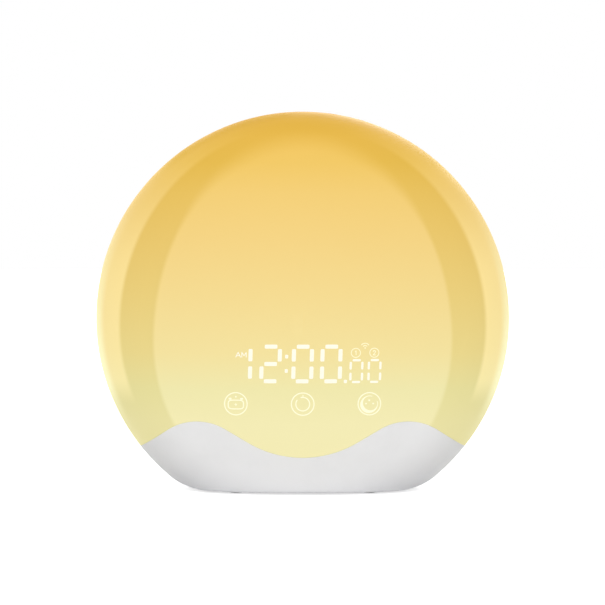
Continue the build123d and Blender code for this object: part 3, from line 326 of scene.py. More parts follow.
def metal(name, colour, dull, roughness, stretch=(300.0, 5000.0, 5000.0), metallic=1.0):
    """Plated, brushed or ground metal: hairlines under a few dull patches."""
    material, tree, shader, place = new_material(name)
    lines = use_group(tree, hairlines, place, Stretch=stretch).outputs["Mask"]
    wear = use_group(tree, soft_wear, place, Scale=160.0).outputs["Mask"]
    wire(
        tree,
        (mix_colours(tree, wear, colour, dull), shader.inputs["Base Color"]),
        (vary(tree, lines, roughness, roughness + 0.15), shader.inputs["Roughness"]),
    )
    fill(shader, Metallic=metallic)
    add_bump(tree, shader, lines, 0.2, 0.02 * MM)
    return material


# ------------------------------------------------------------------ the lit diffuser
GLOW_LOW = 30 * MM            # heights between which the glow changes
GLOW_HIGH = 176 * MM
GLOW_LIGHT = 0.71             # of the colour that is its own light
GLOW_BODY = 0.26              # of the colour that the plastic gives back from the lamps
DAWN = (                      # height above the table in mm, and the glow's colour there
    (33, (247, 239, 184)),
    (49, (243, 235, 176)),
    (65, (246, 228, 161)),
    (91, (246, 220, 146)),
    (117, (245, 212, 131)),
    (137, (244, 207, 118)),
    (151, (242, 201, 101)),
    (162, (244, 200, 99)),
    (172, (240, 193, 85)),
)
BAND_LOW_SHADOW = srgb(244, 243, 232)    # painted shadow of the chamber's wall: what the band leaves of the glow, low and high up
BAND_HIGH_SHADOW = srgb(244, 238, 199)
RIM_LIGHT_COLOUR = (1.16, 0.96, 0.44, 1.0)    # brighter than white: painted light on the pale rim, and a painted highlight at the very edge
LIMB_HIGHLIGHT = (1.08, 1.04, 0.63, 1.0)
TOP_EDGE_SHADE = srgb(246, 242, 192)        # painted shade: what the edge leaves of the glow at the top
# The glow's edges: centre height, half width, reach above and below, and softness, in mm
FACE_EDGE = (70.3, 67.2, 90, 75, 2.4)
RIM_EDGE = (76.3, 83.0, 91, 84, 2.4)
LIMB_EDGE = (78.9, 91.6, 91.6, 91.6, 3.5)
BROW_EDGE = (78.9, 92.2, 92.2, 92.2, 3.0)
RIM_SHARE = 0.35              # of painted light in the pale rim outside the darker band
LIMB_SHARE = 0.84             # of painted highlight at the very edge
# Heights between which each of these comes in or fades out
RIM_TOP = (142 * MM, 168 * MM)
RIM_FOOT = (40 * MM, 54 * MM)
RIM_LIGHT_TOP = (95 * MM, 145 * MM)
LIMB_TOP = (50 * MM, 135 * MM)
LIMB_FOOT = (28 * MM, 54 * MM)
BROW_FOOT = (140 * MM, 156 * MM)
FACE_BLUR = (115 * MM, 160 * MM)       # the face's edge softens over this rise
FACE_BLUR_END = 9 * MM                 # to this softness


def shine(tree, shader, shade, strength):
    """Gives a shader a colour as its own light, and less of it as what it gives back."""
    dimmed = mix_colours(tree, 1.0, shade, (GLOW_BODY,) * 3 + (1.0,), "MULTIPLY")
    wire(tree, (dimmed, shader.inputs["Base Color"]), (shade, shader.inputs["Emission Color"]))
    fill(shader, Emission_Strength=strength)


def dawn_by_height(tree, height):
    """How far up the glow a height is, from 0 to 1, and the dawn's colour there."""
    level = fill(put(tree, "ShaderNodeMapRange"), From_Min=GLOW_LOW, From_Max=GLOW_HIGH)
    ramp = put(tree, "ShaderNodeValToRGB")
    stops = ramp.color_ramp.elements
    while len(stops) < len(DAWN):
        stops.new(0.5)
    for stop, (above_table, colour) in zip(stops, DAWN):
        stop.position = (above_table * MM - GLOW_LOW) / (GLOW_HIGH - GLOW_LOW)
        stop.color = srgb(*colour)
    wire(tree, (height, level.inputs["Value"]), (level.outputs["Result"], ramp.inputs["Fac"]))
    return level.outputs["Result"], ramp.outputs["Color"]


def outside(tree, across, height, edge_sizes):
    """A mask of 1 outside one of the glow's edges. The face's edge gets softer higher up."""
    centre, half_width, above, below, softness = (size * MM for size in edge_sizes)
    edge = use_group(
        tree,
        ellipse_edge,
        Centre=centre,
        Half_width=half_width,
        Above=above,
        Below=below,
        Softness=softness,
    )
    wire(tree, (across, edge.inputs["Across"]), (height, edge.inputs["Height"]))
    if edge_sizes is FACE_EDGE:
        blur = vary(tree, between(tree, height, *FACE_BLUR), softness, FACE_BLUR_END)
        wire(tree, (blur, edge.inputs["Softness"]))
    return edge.outputs["Mask"]


def glow_zones(tree, across, height):
    """Masks of the darker band of painted shadow, the pale rim of painted light, the painted
    highlight at the very edge lower down and the painted shade along the edge at the top.
    """
    edges = (FACE_EDGE, RIM_EDGE, LIMB_EDGE, BROW_EDGE)
    off_face, off_band, limb, brow = [outside(tree, across, height, edge) for edge in edges]
    rim = times(tree, off_band, less(tree, between(tree, height, *RIM_TOP)))
    rim = times(tree, rim, between(tree, height, *RIM_FOOT))
    band = times(tree, off_face, less(tree, rim))
    limb = times(tree, limb, less(tree, between(tree, height, *LIMB_TOP)))
    limb = times(tree, limb, between(tree, height, *LIMB_FOOT))
    brow = times(tree, brow, between(tree, height, *BROW_FOOT))
    return band, rim, limb, brow


def make_glow():
    """Milky plastic lit from inside: a dawn gradient by height, a painted shadow where the
    chamber's wall stands behind it, painted paler light on the rim, a painted highlight towards
    the very edge and painted shade along the edge at the top."""
    material, tree, shader, place = new_material("milky_glow")
    split = put(tree, "ShaderNodeSeparateXYZ")
    wire(tree, (place, split.inputs[0]))
    across, height = split.outputs["X"], split.outputs["Z"]
    level, dawn = dawn_by_height(tree, height)
    band, rim, limb, brow = glow_zones(tree, across, height)
    # painted shadow of the chamber's wall: the band darkens the dawn colour
    band_shadow = mix_colours(tree, level, BAND_LOW_SHADOW, BAND_HIGH_SHADOW)
    darker = mix_colours(tree, 1.0, dawn, band_shadow, "MULTIPLY")
    shade = mix_colours(tree, band, dawn, darker)
    # painted light: the pale rim is brightened towards a colour above white
    rim_brightening = times(tree, rim, less(tree, between(tree, height, *RIM_LIGHT_TOP)))
    shade = mix_colours(tree, times(tree, rim_brightening, RIM_SHARE), shade, RIM_LIGHT_COLOUR)
    # painted highlight towards the very edge lower down
    shade = mix_colours(tree, times(tree, limb, LIMB_SHARE), shade, LIMB_HIGHLIGHT)
    # painted shade along the edge at the top
    shade = mix_colours(tree, brow, shade, mix_colours(tree, 1.0, shade, TOP_EDGE_SHADE, "MULTIPLY"))
    wear = use_group(tree, soft_wear, place, Scale=22.0).outputs["Mask"]
    grain_height = use_group(tree, fine_grain, place, Scale=1800.0).outputs["Height"]
    shine(tree, shader, shade, GLOW_LIGHT)
    wire(tree, (vary(tree, wear, 0.52, 0.62), shader.inputs["Roughness"]))
    fill(shader, Specular_IOR_Level=0.08)
    add_bump(tree, shader, grain_height, 0.08, 0.05 * MM)
    return material


def lit(name, colour, edge_colour, strength):
    """A lit mark: even light with a slightly mottled phosphor."""
    material, tree, shader, place = new_material(name)
    mottle = use_group(tree, soft_wear, place, Scale=900.0).outputs["Mask"]
    shine(tree, shader, mix_colours(tree, mottle, colour, edge_colour), strength)
    fill(shader, Roughness=0.5, Specular_IOR_Level=0.1)
    return material


def make_board():
    """Green solder mask over copper tracks: a grid of fine lines lifts and lightens it."""
    material, tree, shader, place = new_material("solder_mask")
    split = put(tree, "ShaderNodeSeparateXYZ")
    flat = put(tree, "ShaderNodeCombineXYZ")
    tracks = put(tree, "ShaderNodeTexBrick", offset=0.37, squash=0.7)
    fill(tracks, Scale=260, Mortar_Size=0.035)
    wire(
        tree,
        (place, split.inputs[0]),
        (split.outputs["X"], flat.inputs["X"]),
        (split.outputs["Z"], flat.inputs["Y"]),
        (flat.outputs[0], tracks.inputs["Vector"]),
    )
    wear = use_group(tree, soft_wear, place, Scale=90.0).outputs["Mask"]
    green = mix_colours(tree, wear, (0.010, 0.085, 0.035, 1), (0.014, 0.105, 0.045, 1))
    tracked = mix_colours(tree, tracks.outputs["Fac"], green, (0.022, 0.16, 0.06, 1))
    wire(tree, (tracked, shader.inputs["Base Color"]))
    fill(shader, Roughness=0.35)
    add_bump(tree, shader, tracks.outputs["Fac"], 0.4, 0.03 * MM)
    return material


def make_cell():
    """Nickel-plated can with turned rings about the cell's axis."""
    material, tree, shader, place = new_material("cell_plating")
    centred = fill(put(tree, "ShaderNodeMapping"), Location=(0, -COVER_Y * MM, 0))
    rings = put(tree, "ShaderNodeTexWave", wave_type="RINGS", rings_direction="Z")
    fill(rings, Scale=700, Distortion=0.4)
    wear = use_group(tree, soft_wear, place, Scale=120.0).outputs["Mask"]
    shade = mix_colours(tree, wear, (0.62, 0.62, 0.63, 1), (0.5, 0.5, 0.5, 1))
    wire(
        tree,
        (place, centred.inputs["Vector"]),
        (centred.outputs[0], rings.inputs["Vector"]),
        (vary(tree, rings.outputs["Fac"], 0.22, 0.34), shader.inputs["Roughness"]),
        (shade, shader.inputs["Base Color"]),
    )
    fill(shader, Metallic=1.0)
    return material


def make_paper():
    """Pressed black paper: fibres as stretched noise in two directions."""
    material, tree, shader, place = new_material("cone_paper")
    first = use_group(tree, hairlines, place, Stretch=(900.0, 900.0, 5000.0))
    second = use_group(tree, hairlines, place, Stretch=(5000.0, 900.0, 900.0))
    fibres = times(tree, first.outputs["Mask"], second.outputs["Mask"])
    shade = mix_colours(tree, fibres, (0.012, 0.012, 0.013, 1), (0.05, 0.05, 0.052, 1))
    wire(tree, (shade, shader.inputs["Base Color"]))
    fill(shader, Roughness=0.85)
    add_bump(tree, shader, fibres, 0.6, 0.1 * MM)
    return material


looks = {
    "milky_glow": make_glow(),
    "shell_white": moulded(
        "shell_white", (0.8, 0.8, 0.815, 1), (0.775, 0.775, 0.79, 1), 0.45, specular=0.25
    ),
    "cover_white": moulded("cover_white", (0.78, 0.78, 0.79, 1), (0.74, 0.74, 0.75, 1), 0.4),
    "reflector_white": moulded("reflector_white", (0.86, 0.86, 0.85, 1), (0.8, 0.8, 0.79, 1), 0.6),
    "mask_white": moulded("mask_white", (0.8, 0.82, 0.8, 1), (0.74, 0.77, 0.74, 1), 0.35),
    "film_smoke": moulded("film_smoke", (0.78, 0.74, 0.62, 1), (0.7, 0.66, 0.55, 1), 0.3),
    "phosphor": lit("phosphor", (0.95, 0.78, 0.22, 1), (0.9, 0.7, 0.16, 1), 0.6),
    "key_grey": moulded("key_grey", (0.66, 0.67, 0.69, 1), (0.6, 0.61, 0.63, 1), 0.38),
    "plunger_ivory": moulded("plunger_ivory", (0.6, 0.56, 0.46, 1), (0.52, 0.48, 0.38, 1), 0.45),
    "foot_rubber": moulded(
        "foot_rubber",
        (0.045, 0.045, 0.047, 1),
        (0.085, 0.083, 0.08, 1),
        0.75,
        grain=1500.0,
        depth=0.6,
    ),
    "fired_tan": moulded("fired_tan", (0.17, 0.09, 0.045, 1), (0.12, 0.065, 0.035, 1), 0.5),
    "black_moulding": moulded(
        "black_moulding", (0.012, 0.012, 0.013, 1), (0.028, 0.028, 0.03, 1), 0.4
    ),
    "gasket_foam": moulded(
        "gasket_foam", (0.02, 0.02, 0.02, 1), (0.05, 0.05, 0.05, 1), 0.9, grain=900.0, depth=1.0
    ),
    "surround_rubber": moulded(
        "surround_rubber", (0.015, 0.015, 0.016, 1), (0.03, 0.03, 0.03, 1), 0.55
    ),
    "touch_foam": moulded(
        "touch_foam", (0.08, 0.08, 0.085, 1), (0.13, 0.13, 0.13, 1), 0.85, grain=1100.0, depth=0.8
    ),
    "flat_cable": moulded("flat_cable", (0.7, 0.7, 0.66, 1), (0.62, 0.62, 0.58, 1), 0.4),
    "screw_zinc": metal("screw_zinc", (0.55, 0.56, 0.58, 1), (0.38, 0.38, 0.39, 1), 0.28),
    "can_tin": metal("can_tin", (0.7, 0.71, 0.72, 1), (0.52, 0.52, 0.53, 1), 0.3),
    "capacitor_can": metal("capacitor_can", (0.72, 0.72, 0.73, 1), (0.55, 0.55, 0.56, 1), 0.35),
    "socket_nickel": metal("socket_nickel", (0.6, 0.6, 0.61, 1), (0.45, 0.45, 0.46, 1), 0.25),
    "basket_steel": metal("basket_steel", (0.16, 0.16, 0.17, 1), (0.1, 0.1, 0.1, 1), 0.38),
    "coil_copper": metal(
        "coil_copper",
        (0.65, 0.27, 0.11, 1),
        (0.45, 0.18, 0.08, 1),
        0.3,
        stretch=(400.0, 9000.0, 400.0),
    ),
    "contact_steel": metal("contact_steel", (0.66, 0.64, 0.58, 1), (0.5, 0.48, 0.42, 1), 0.25),
    "contact_gold": metal("contact_gold", (0.83, 0.6, 0.25, 1), (0.7, 0.48, 0.2, 1), 0.25),
    "magnet_ferrite": metal(
        "magnet_ferrite", (0.03, 0.03, 0.032, 1), (0.06, 0.06, 0.06, 1), 0.55, metallic=0.2
    ),
    "solder_mask": make_board(),
    "cell_plating": make_cell(),
    "cone_paper": make_paper(),
    "figure_light": lit("figure_light", srgb(255, 251, 234), srgb(255, 250, 226), 0.76),
    "mark_light": lit("mark_light", srgb(255, 248, 210), srgb(254, 246, 204), 0.78),
    "icon_light": lit("icon_light", srgb(255, 252, 220), srgb(254, 250, 212), 0.78),
    "print_grey": moulded("print_grey", (0.12, 0.12, 0.125, 1), (0.17, 0.17, 0.175, 1), 0.5),
}

wearers = {
    "milky_glow": ["front_diffuser"],
    "shell_white": ["base_cover", "rear_housing", "speaker_grille"],
    "cover_white": ["battery_cover"],
    "reflector_white": ["light_chamber", "display_reflector", "display_carrier"],
    "mask_white": ["led_board"],
    "film_smoke": ["display_film"],
    "phosphor": ["led_chips", "display_leds"],
    "foot_rubber": [n for n in nodes if n.startswith("foot_")],
    "plunger_ivory": [n for n in nodes if n.startswith("plunger_")] + ["cable_connectors"],
    "key_grey": [n for n in nodes if n.startswith("key_") and n != "key_board"],
    "touch_foam": [n for n in nodes if n.startswith("touch_ring_")],
    "black_moulding": ["board_chips", "switch_bodies", "socket_tongue"],
    "gasket_foam": ["speaker_gasket"],
    "surround_rubber": ["speaker_surround"],
    "flat_cable": ["display_cable"],
    "screw_zinc": [n for n in nodes if n.endswith("_screws")],
    "can_tin": ["radio_module"],
    "capacitor_can": ["capacitors"],
    "socket_nickel": ["socket_shell"],
    "basket_steel": ["speaker_basket", "speaker_top_plate", "speaker_yoke"],
    "coil_copper": ["voice_coil"],
    "contact_steel": ["cell_contact", "cell_clip"],
    "fired_tan": ["board_passives"],
    "magnet_ferrite": ["speaker_magnet"],
    "solder_mask": ["main_board", "key_board", "display_board"],
    "cell_plating": ["coin_cell"],
    "cone_paper": ["speaker_cone", "dust_cap"],
}
for look, names in wearers.items():
    for name in names:
        for holder in nodes[name].material_slots:
            holder.material = looks[look]


# ------------------------------------------------------------------ marks that follow a surface
def front_skin(flat, lift):
    """Points (x, z) on the front dome, lifted out: y is minus the dome's depth at that radius."""
    radius2 = flat[..., 0] ** 2 + (flat[..., 1] - CENTRE_Z) ** 2
    y = -(np.sqrt(DOME_RADIUS**2 - radius2) - DOME_CENTRE) - lift
    return np.stack([flat[..., 0], y, flat[..., 1]], -1)


def key_skin(flat, lift):
    """Points (x, z) on the keys' crowns, which follow the rear dome a little further out."""
    radius2 = flat[..., 0] ** 2 + (flat[..., 1] - CENTRE_Z) ** 2
    y = np.sqrt((DOME_RADIUS + KEY_PROUD) ** 2 - radius2) - DOME_CENTRE + lift
    return np.stack([flat[..., 0], y, flat[..., 1]], -1)


def floor_skin(flat, lift):
    """Points (x, y) on the flat underside, lifted downwards out of it."""
    return np.stack([flat[..., 0], flat[..., 1], UNDERSIDE_Z - lift + 0 * flat[..., 0]], -1)


def superellipse(power, steps):
    """Points of an outline on which x and z, each to that power, add up to one on every side."""
    turn = np.linspace(0, 2 * np.pi, steps, endpoint=False)
    x = np.sign(np.cos(turn)) * np.abs(np.cos(turn)) ** (2 / power)
    z = np.sign(np.sin(turn)) * np.abs(np.sin(turn)) ** (2 / power)
    return np.stack([x, z], -1)


def pads(skin, places, half_sizes, power=5.0, lean=0.0, around=28):
    """Small rounded shapes on a skin, each closed all round.

    Point (s, t) is the place plus s times the outline at turn t, a superellipse stretched to the
    half width and half height. The rows run out over the face, down the edge and in along the
    back. A lean moves each point over by that share of its height.
    """
    places = np.asarray(places, float)
    half_sizes = np.asarray(half_sizes, float)
    outline = superellipse(power, around)
    share = np.array([0.5, 0.93, 1.0, 1.0, 0.5])
    lift = np.array([1.0, 1.0, 0.6, -MARK_SINK / MARK_LIFT, -MARK_SINK / MARK_LIFT]) * MARK_LIFT
    offset = share[None, :, None, None] * outline[None, None] * half_sizes[:, None, None, :]
    offset[..., 0] += offset[..., 1] * lean
    rings = skin(places[:, None, None, :] + offset, lift[None, :, None])
    tops = skin(places, MARK_LIFT)
    backs = skin(places, -MARK_SINK)
    count, depth = len(places), len(share)
    verts = np.concatenate([rings.reshape(-1, 3), tops, backs])
    base = np.arange(count)[:, None, None] * depth * around
    k = np.arange(depth - 1)[None, :, None] * around
    i = np.arange(around)[None, None, :]
    j = (i + 1) % around
    near, far = base + k, base + k + around
    quads = np.stack(np.broadcast_arrays(near + i, near + j, far + j, far + i), -1)
    first = np.arange(count)[:, None] * depth * around
    i, j = i[0], j[0]
    top = count * depth * around + np.arange(count)[:, None]
    last = first + (depth - 1) * around
    fans = np.concatenate(
        [
            np.stack(np.broadcast_arrays(top, first + j, first + i), -1).reshape(-1, 3),
            np.stack(np.broadcast_arrays(top + count, last + i, last + j), -1).reshape(-1, 3),
        ]
    )
    return verts, [quads.reshape(-1, 4), fans]


def stroke(skin, path, width, closed=False):
    """A printed line on a skin: a flat profile of that width carried along a path.

    Each path point gives four points, left and right of the path on the face and at the back,
    along the path's own normal. The width may change along the path.
    """
    path = np.asarray(path, float)
    if closed:
        along = np.roll(path, -1, 0) - np.roll(path, 1, 0)
    else:
        along = np.gradient(path, axis=0)
    along /= np.linalg.norm(along, axis=1)[:, None]
    half = (np.broadcast_to(width, len(path)) / 2)[:, None]
    side = np.stack([-along[:, 1], along[:, 0]], -1) * half
    flat = np.stack([path + side, path - side, path - side, path + side], 1)
    lift = np.array([MARK_LIFT, MARK_LIFT, -MARK_SINK, -MARK_SINK])
    verts = skin(flat, lift[None, :]).reshape(-1, 3)
    count = len(path)
    i = np.arange(count if closed else count - 1)[:, None]
    j = (i + 1) % count
    c = np.arange(4)[None, :]
    d = (c + 1) % 4
    faces = [np.stack([i * 4 + c, j * 4 + c, j * 4 + d, i * 4 + d], -1).reshape(-1, 4)]
    if not closed:
        first = np.arange(4)
        faces.append(np.array([first[::-1], first + 4 * (count - 1)]))
    return verts, faces


def arc(centre, radius, start, end, steps=40):
    """Points of a circle's arc, its angles in degrees."""
    turn = np.radians(np.linspace(start, end, steps))
    return np.stack([centre[0] + radius * np.cos(turn), centre[1] + radius * np.sin(turn)], -1)


def circle(centre, radius, steps=64):
    """Points of a whole circle, the first not repeated."""
    return arc(centre, radius, 0, 360 * (steps - 1) / steps, steps)


def bent(points, steps=8):
    """A polyline with points added evenly along each leg, so that it can follow a curved skin."""
    points = np.asarray(points, float)
    share = np.linspace(0, 1, steps, endpoint=False)[None, :, None]
    legs = points[:-1, None] + (points[1:, None] - points[:-1, None]) * share
    return np.concatenate([legs.reshape(-1, 2), points[-1:]])


def piece(name, shapes, look, body):
    """One object of several closed shapes, its faces turned outwards, that rides on a body.

    Each shape is an array of points and a list of arrays of faces.
    """
    verts, faces, used = [], [], 0
    for shape_verts, shape_faces in shapes:
        verts.append(shape_verts)
        for block in shape_faces:
            faces += (block + used).tolist()
        used += len(shape_verts)
    mesh = bpy.data.meshes.new(name)
    mesh.from_pydata(np.concatenate(verts).tolist(), [], faces)
    work = bmesh.new()
    work.from_mesh(mesh)
    bmesh.ops.recalc_face_normals(work, faces=work.faces)
    work.to_mesh(mesh)
    work.free()
    thing = add_object(name, mesh)
    mesh.materials.append(looks[look])
    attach(thing, body)


# ------------------------------------------------------------------ the clock display
# In mm
DISPLAY_FOOT = 51.95          # height of the figures' lower edge above the table
DIGIT = (10.1, 17.7, 2.05)    # width, height and stroke
SMALL_DIGIT = (6.45, 11.1, 1.25)
DIGIT_LEFTS = (-32.85, -19.7, -5.35, 7.45)    # each figure's left edge
SMALL_DIGIT_LEFTS = (20.65, 28.8)
DOTS = (                      # centre from the figures' lower edge, width and height
    (-7.55, 5.7, 1.6, 1.9),
    (-7.55, 12.2, 1.6, 1.9),
    (19.1, 0.9, 1.65, 1.75),
)
SLANT = math.tan(math.radians(1.7))
BAR_GAP = 0.1                 # off each side of a bar
END_GAP = 0.03                # of the stroke, from a level bar's end to the upright bar's side
# A figure's bars are named clockwise from the top, a to f, with g across the middle
LIT_BARS = {"0": "abcdef", "1": "bc", "2": "abdeg"}


def figure_bars(left, size, figure):
    """Centre, width and height of each of a figure's lit bars, in mm from the lower edge."""
    width, height, line = size
    side = (height - 3 * line) / 2
    across = width - 2 * line * (1 + END_GAP)
    low, high = line + side / 2, 2 * line + 1.5 * side
    bars = {
        "a": (left + width / 2, height - line / 2, across, line),
        "b": (left + width - line / 2, high, line, side),
        "c": (left + width - line / 2, low, line, side),
        "d": (left + width / 2, line / 2, across, line),
        "e": (left + line / 2, low, line, side),
        "f": (left + line / 2, high, line, side),
        "g": (left + width / 2, height / 2, across, line),
    }
    return [bars[b] for b in LIT_BARS[figure]]


def leaned(bars):
    """Places and half sizes in metres, of bars in mm, with each centre moved over by the slant."""
    x, z, w, h = np.array(bars).T
    places = np.stack([x + z * SLANT, z + DISPLAY_FOOT], -1) * MM
    return places, np.stack([w / 2 - BAR_GAP, h / 2 - BAR_GAP], -1) * MM


def figure_row(lefts, size, figures):
    """The lit bars of a row of figures."""
    return [bar for left, f in zip(lefts, figures) for bar in figure_bars(left, size, f)]


for name, bars, power in (
    ("display_figures", figure_row(DIGIT_LEFTS, DIGIT, "1200"), 7.0),
    ("display_seconds", figure_row(SMALL_DIGIT_LEFTS, SMALL_DIGIT, "00"), 5.0),
    ("display_dots", DOTS, 4.0),
):
    shape = pads(front_skin, *leaned(bars), power, SLANT)
    piece(name, [shape], "figure_light", "case")


def mm(*points):
    """Points given in mm, as an array in metres."""
    return np.array(points, float) * MM


def drawn(skin, middle, size, *lines, width):
    """Strokes drawn in a unit square that is set down at a place, size mm wide and high."""
    spot = np.array(middle) * MM
    scale = np.array(size) * MM
    return [stroke(skin, bent(np.array(line) * scale + spot), width * MM) for line in lines]


def ring(middle, radius, width, steps=64):
    """A circle drawn on the front, all in mm."""
    return stroke(front_skin, circle(mm(middle)[0], radius * MM, steps), width * MM, True)


def spots(skin, half, *middles, power=2.0):
    """Small filled dots, all of one half width and half height, in mm."""
    return pads(skin, mm(*middles), mm(*[half] * len(middles)), power)


MARK_LINE = 0.36
DOT_HALF = (0.32, 0.32)       # a small dot's half width and half height
ALARM_MARKS = ((23.8, 65.75), (32.1, 65.75))
MARK_RADIUS = 2.05            # of the ring round each alarm mark
NUMERAL = (1.7, 2.0)          # width and height
ONE = ((-0.22, 0.2), (0.06, 0.5), (0.06, -0.5))
TWO = (
    (-0.32, 0.22), (-0.2, 0.44), (0.12, 0.5), (0.32, 0.3), (0.2, 0.02), (-0.34, -0.5), (0.36, -0.5)
)
SIGNAL = (27.95, 67.9)
SIGNAL_RADII = (1.15, 2.15)
SIGNAL_SPREAD = (38, 142)     # degrees, from where to where each arc runs
marks = []
for middle, numeral in zip(ALARM_MARKS, (ONE, TWO)):
    marks.append(ring(middle, MARK_RADIUS, MARK_LINE))
    marks += drawn(front_skin, middle, NUMERAL, numeral, width=MARK_LINE)
marks.append(spots(front_skin, DOT_HALF, SIGNAL))
for radius in SIGNAL_RADII:
    wave = arc(mm(SIGNAL)[0], radius * MM, *SIGNAL_SPREAD)
    marks.append(stroke(front_skin, wave, MARK_LINE * MM))
piece("display_alarm_marks", marks, "mark_light", "case")

LETTER_A = ((-0.5, -0.5), (0.0, 0.5), (0.5, -0.5))
BAR_OF_A = ((-0.3, -0.16), (0.3, -0.16))
LETTER_M = ((-0.5, -0.5), (-0.5, 0.5), (0.0, -0.2), (0.5, 0.5), (0.5, -0.5))
HALF_DAY = (                  # centre, size and lines of each letter
    ((-28.95, 64.85), (2.2, 2.3), (LETTER_A, BAR_OF_A)),
    ((-26.3, 64.85), (2.0, 2.3), (LETTER_M,)),
)
meridiem = []
for middle, size, lines in HALF_DAY:
    meridiem += drawn(front_skin, middle, size, *lines, width=MARK_LINE)
piece("display_half_day", meridiem, "figure_light", "case")

# ------------------------------------------------------------------ touch symbols
# In mm. The places inside a symbol are from its ring's middle
TOUCH_Z = 42.6
TOUCH_XS = (-30.05, 0.0, 29.95)
RING_RADIUS = 5.08
RING_LINE = 0.48
BODY_HALF = (3.45, 2.0)       # half width and half height, as for the bells and the knob
BODY_POWER = 4.0              # how square the body's outline is
BODY_DROP = 0.35
BELLS = ((-2.6, 2.3), (2.6, 2.3))
BELL_HALF = (0.7, 0.45)
BELL_POWER = 2.2
KNOB = (0.0, 3.2)
KNOB_HALF = (0.4, 0.36)
CROSS = (((-0.5, 0), (0.5, 0)), ((0, -0.5), (0, 0.5)))
CROSS_SIZE = (1.2, 1.2)       # width and height
CROSS_LINE = 0.32
LIGHT_RADIUS = 3.1
LIGHT_TURN = (142, 142 + 326)     # degrees, from where to where the ring runs
LIGHT_DOT = (0.1, 3.75)
MOON_SHIFT = 0.1
MOON_RADIUS = 3.6
MOON_TURN = (70, 380)         # degrees, from tip to tip
MOON_LINE = (0.3, 1.25)       # the crescent's width at its tips, and how much it gains
MOON_STEPS = 90
STARS = (((-0.1, 1.6), 0.5), ((-1.5, 0.1), 0.42), ((1.7, 0.1), 0.45))     # place and half size
STAR_POWER = 1.2


def rounded_box(middle, half, power, steps=72):
    """The outline of a rounded box, a superellipse of that power."""
    return (superellipse(power, steps) * np.array(half) + np.array(middle)) * MM


def in_symbol(x, *places):
    """Places inside the symbol at x, as places on the front."""
    return [(x + across, TOUCH_Z + up) for across, up in places]


def alarm_clock(x):
    """A rounded body with a cross on it, two bells and a knob."""
    middle = (x, TOUCH_Z - BODY_DROP)
    outline = rounded_box(middle, BODY_HALF, BODY_POWER)
    return [
        stroke(front_skin, outline, RING_LINE * MM, True),
        spots(front_skin, BELL_HALF, *in_symbol(x, *BELLS), power=BELL_POWER),
        spots(front_skin, KNOB_HALF, *in_symbol(x, KNOB)),
        *drawn(front_skin, middle, CROSS_SIZE, *CROSS, width=CROSS_LINE),
    ]


def light_ring(x):
    """An open ring with a dot over it."""
    path = arc(mm((x, TOUCH_Z))[0], LIGHT_RADIUS * MM, *LIGHT_TURN, steps=80)
    return [
        stroke(front_skin, path, RING_LINE * MM),
        spots(front_skin, DOT_HALF, *in_symbol(x, LIGHT_DOT)),
    ]


def moon_and_stars(x):
    """An arc whose width swells as a sine cubed from tip to tip, round three pointed stars."""
    along = np.linspace(0, 1, MOON_STEPS)
    tip, gain = MOON_LINE
    width = tip + gain * np.sin(np.pi * along) ** 3
    path = arc(mm((x + MOON_SHIFT, TOUCH_Z))[0], MOON_RADIUS * MM, *MOON_TURN, MOON_STEPS)
    places = in_symbol(x, *[place for place, half in STARS])
    halves = [(half, half) for place, half in STARS]
    return [
        stroke(front_skin, path, width * MM),
        pads(front_skin, mm(*places), mm(*halves), STAR_POWER),
    ]


symbols = {"alarm": alarm_clock, "light": light_ring, "night": moon_and_stars}
for x, (name, symbol) in zip(TOUCH_XS, symbols.items()):
    outer = ring((x, TOUCH_Z), RING_RADIUS, RING_LINE, steps=96)
    piece(f"touch_symbol_{name}", [outer, *symbol(x)], "icon_light", "case")

# ------------------------------------------------------------------ printed signs on the keys
# In mm
KEY_Z = 120.9
KEY_PITCH = 16.0
SIGN_SIZE = (3.6, 3.6)
SIGN_LINE = 0.5
SIGN_DOTS = {                 # place from the key's middle, and half width and half height
    "alarm": ((0, -1.75), (0.45, 0.35)),
    "sound": ((0.25, -1.2), (0.75, 0.6)),
}


def key_signs():
    """Each key's own sign, by the key's name: bars, minus, plus, a bell and a note.

    The keys are read from behind, where X runs to the left, so the note is drawn with X turned.
    """
    dome = arc((0, 0.15), 0.3, 180, 0, 20)
    bell = np.concatenate([[(-0.5, -0.32), (-0.36, -0.2)], dome, [(0.36, -0.2), (0.5, -0.32)]])
    lines = {
        "menu": [((-0.5, h), (0.5, h)) for h in (-0.36, 0.0, 0.36)],
        "down": CROSS[:1],
        "up": CROSS,
        "alarm": [bell, ((-0.5, -0.32), (0.5, -0.32))],
        "sound": [((-0.1, -0.32), (-0.1, 0.5), (-0.42, 0.24))],
    }
    for i, (name, drawing) in enumerate(lines.items()):
        middle = (KEY_PITCH * (i - len(lines) // 2), KEY_Z)
        shapes = drawn(key_skin, middle, SIGN_SIZE, *drawing, width=SIGN_LINE)
        if name in SIGN_DOTS:
            (across, up), half = SIGN_DOTS[name]
            shapes.append(spots(key_skin, half, (middle[0] + across, middle[1] + up)))
        piece(f"key_sign_{name}", shapes, "print_grey", f"key_{name}")


key_signs()


# ------------------------------------------------------------------ socket contacts
def slabs(lows, highs):
    """Closed boxes between pairs of opposite corners."""
    lows, highs = np.asarray(lows, float), np.asarray(highs, float)
    corner = np.array([[i & 1, (i >> 1) & 1, (i >> 2) & 1] for i in range(8)])
    verts = np.where(corner[None], highs[:, None], lows[:, None]).reshape(-1, 3)
    sides = [[0, 2, 3, 1], [4, 5, 7, 6], [0, 1, 5, 4], [2, 6, 7, 3], [0, 4, 6, 2], [1, 3, 7, 5]]
    sides = np.array(sides)
    return verts, [(np.arange(len(lows))[:, None, None] * 8 + sides[None]).reshape(-1, 4)]


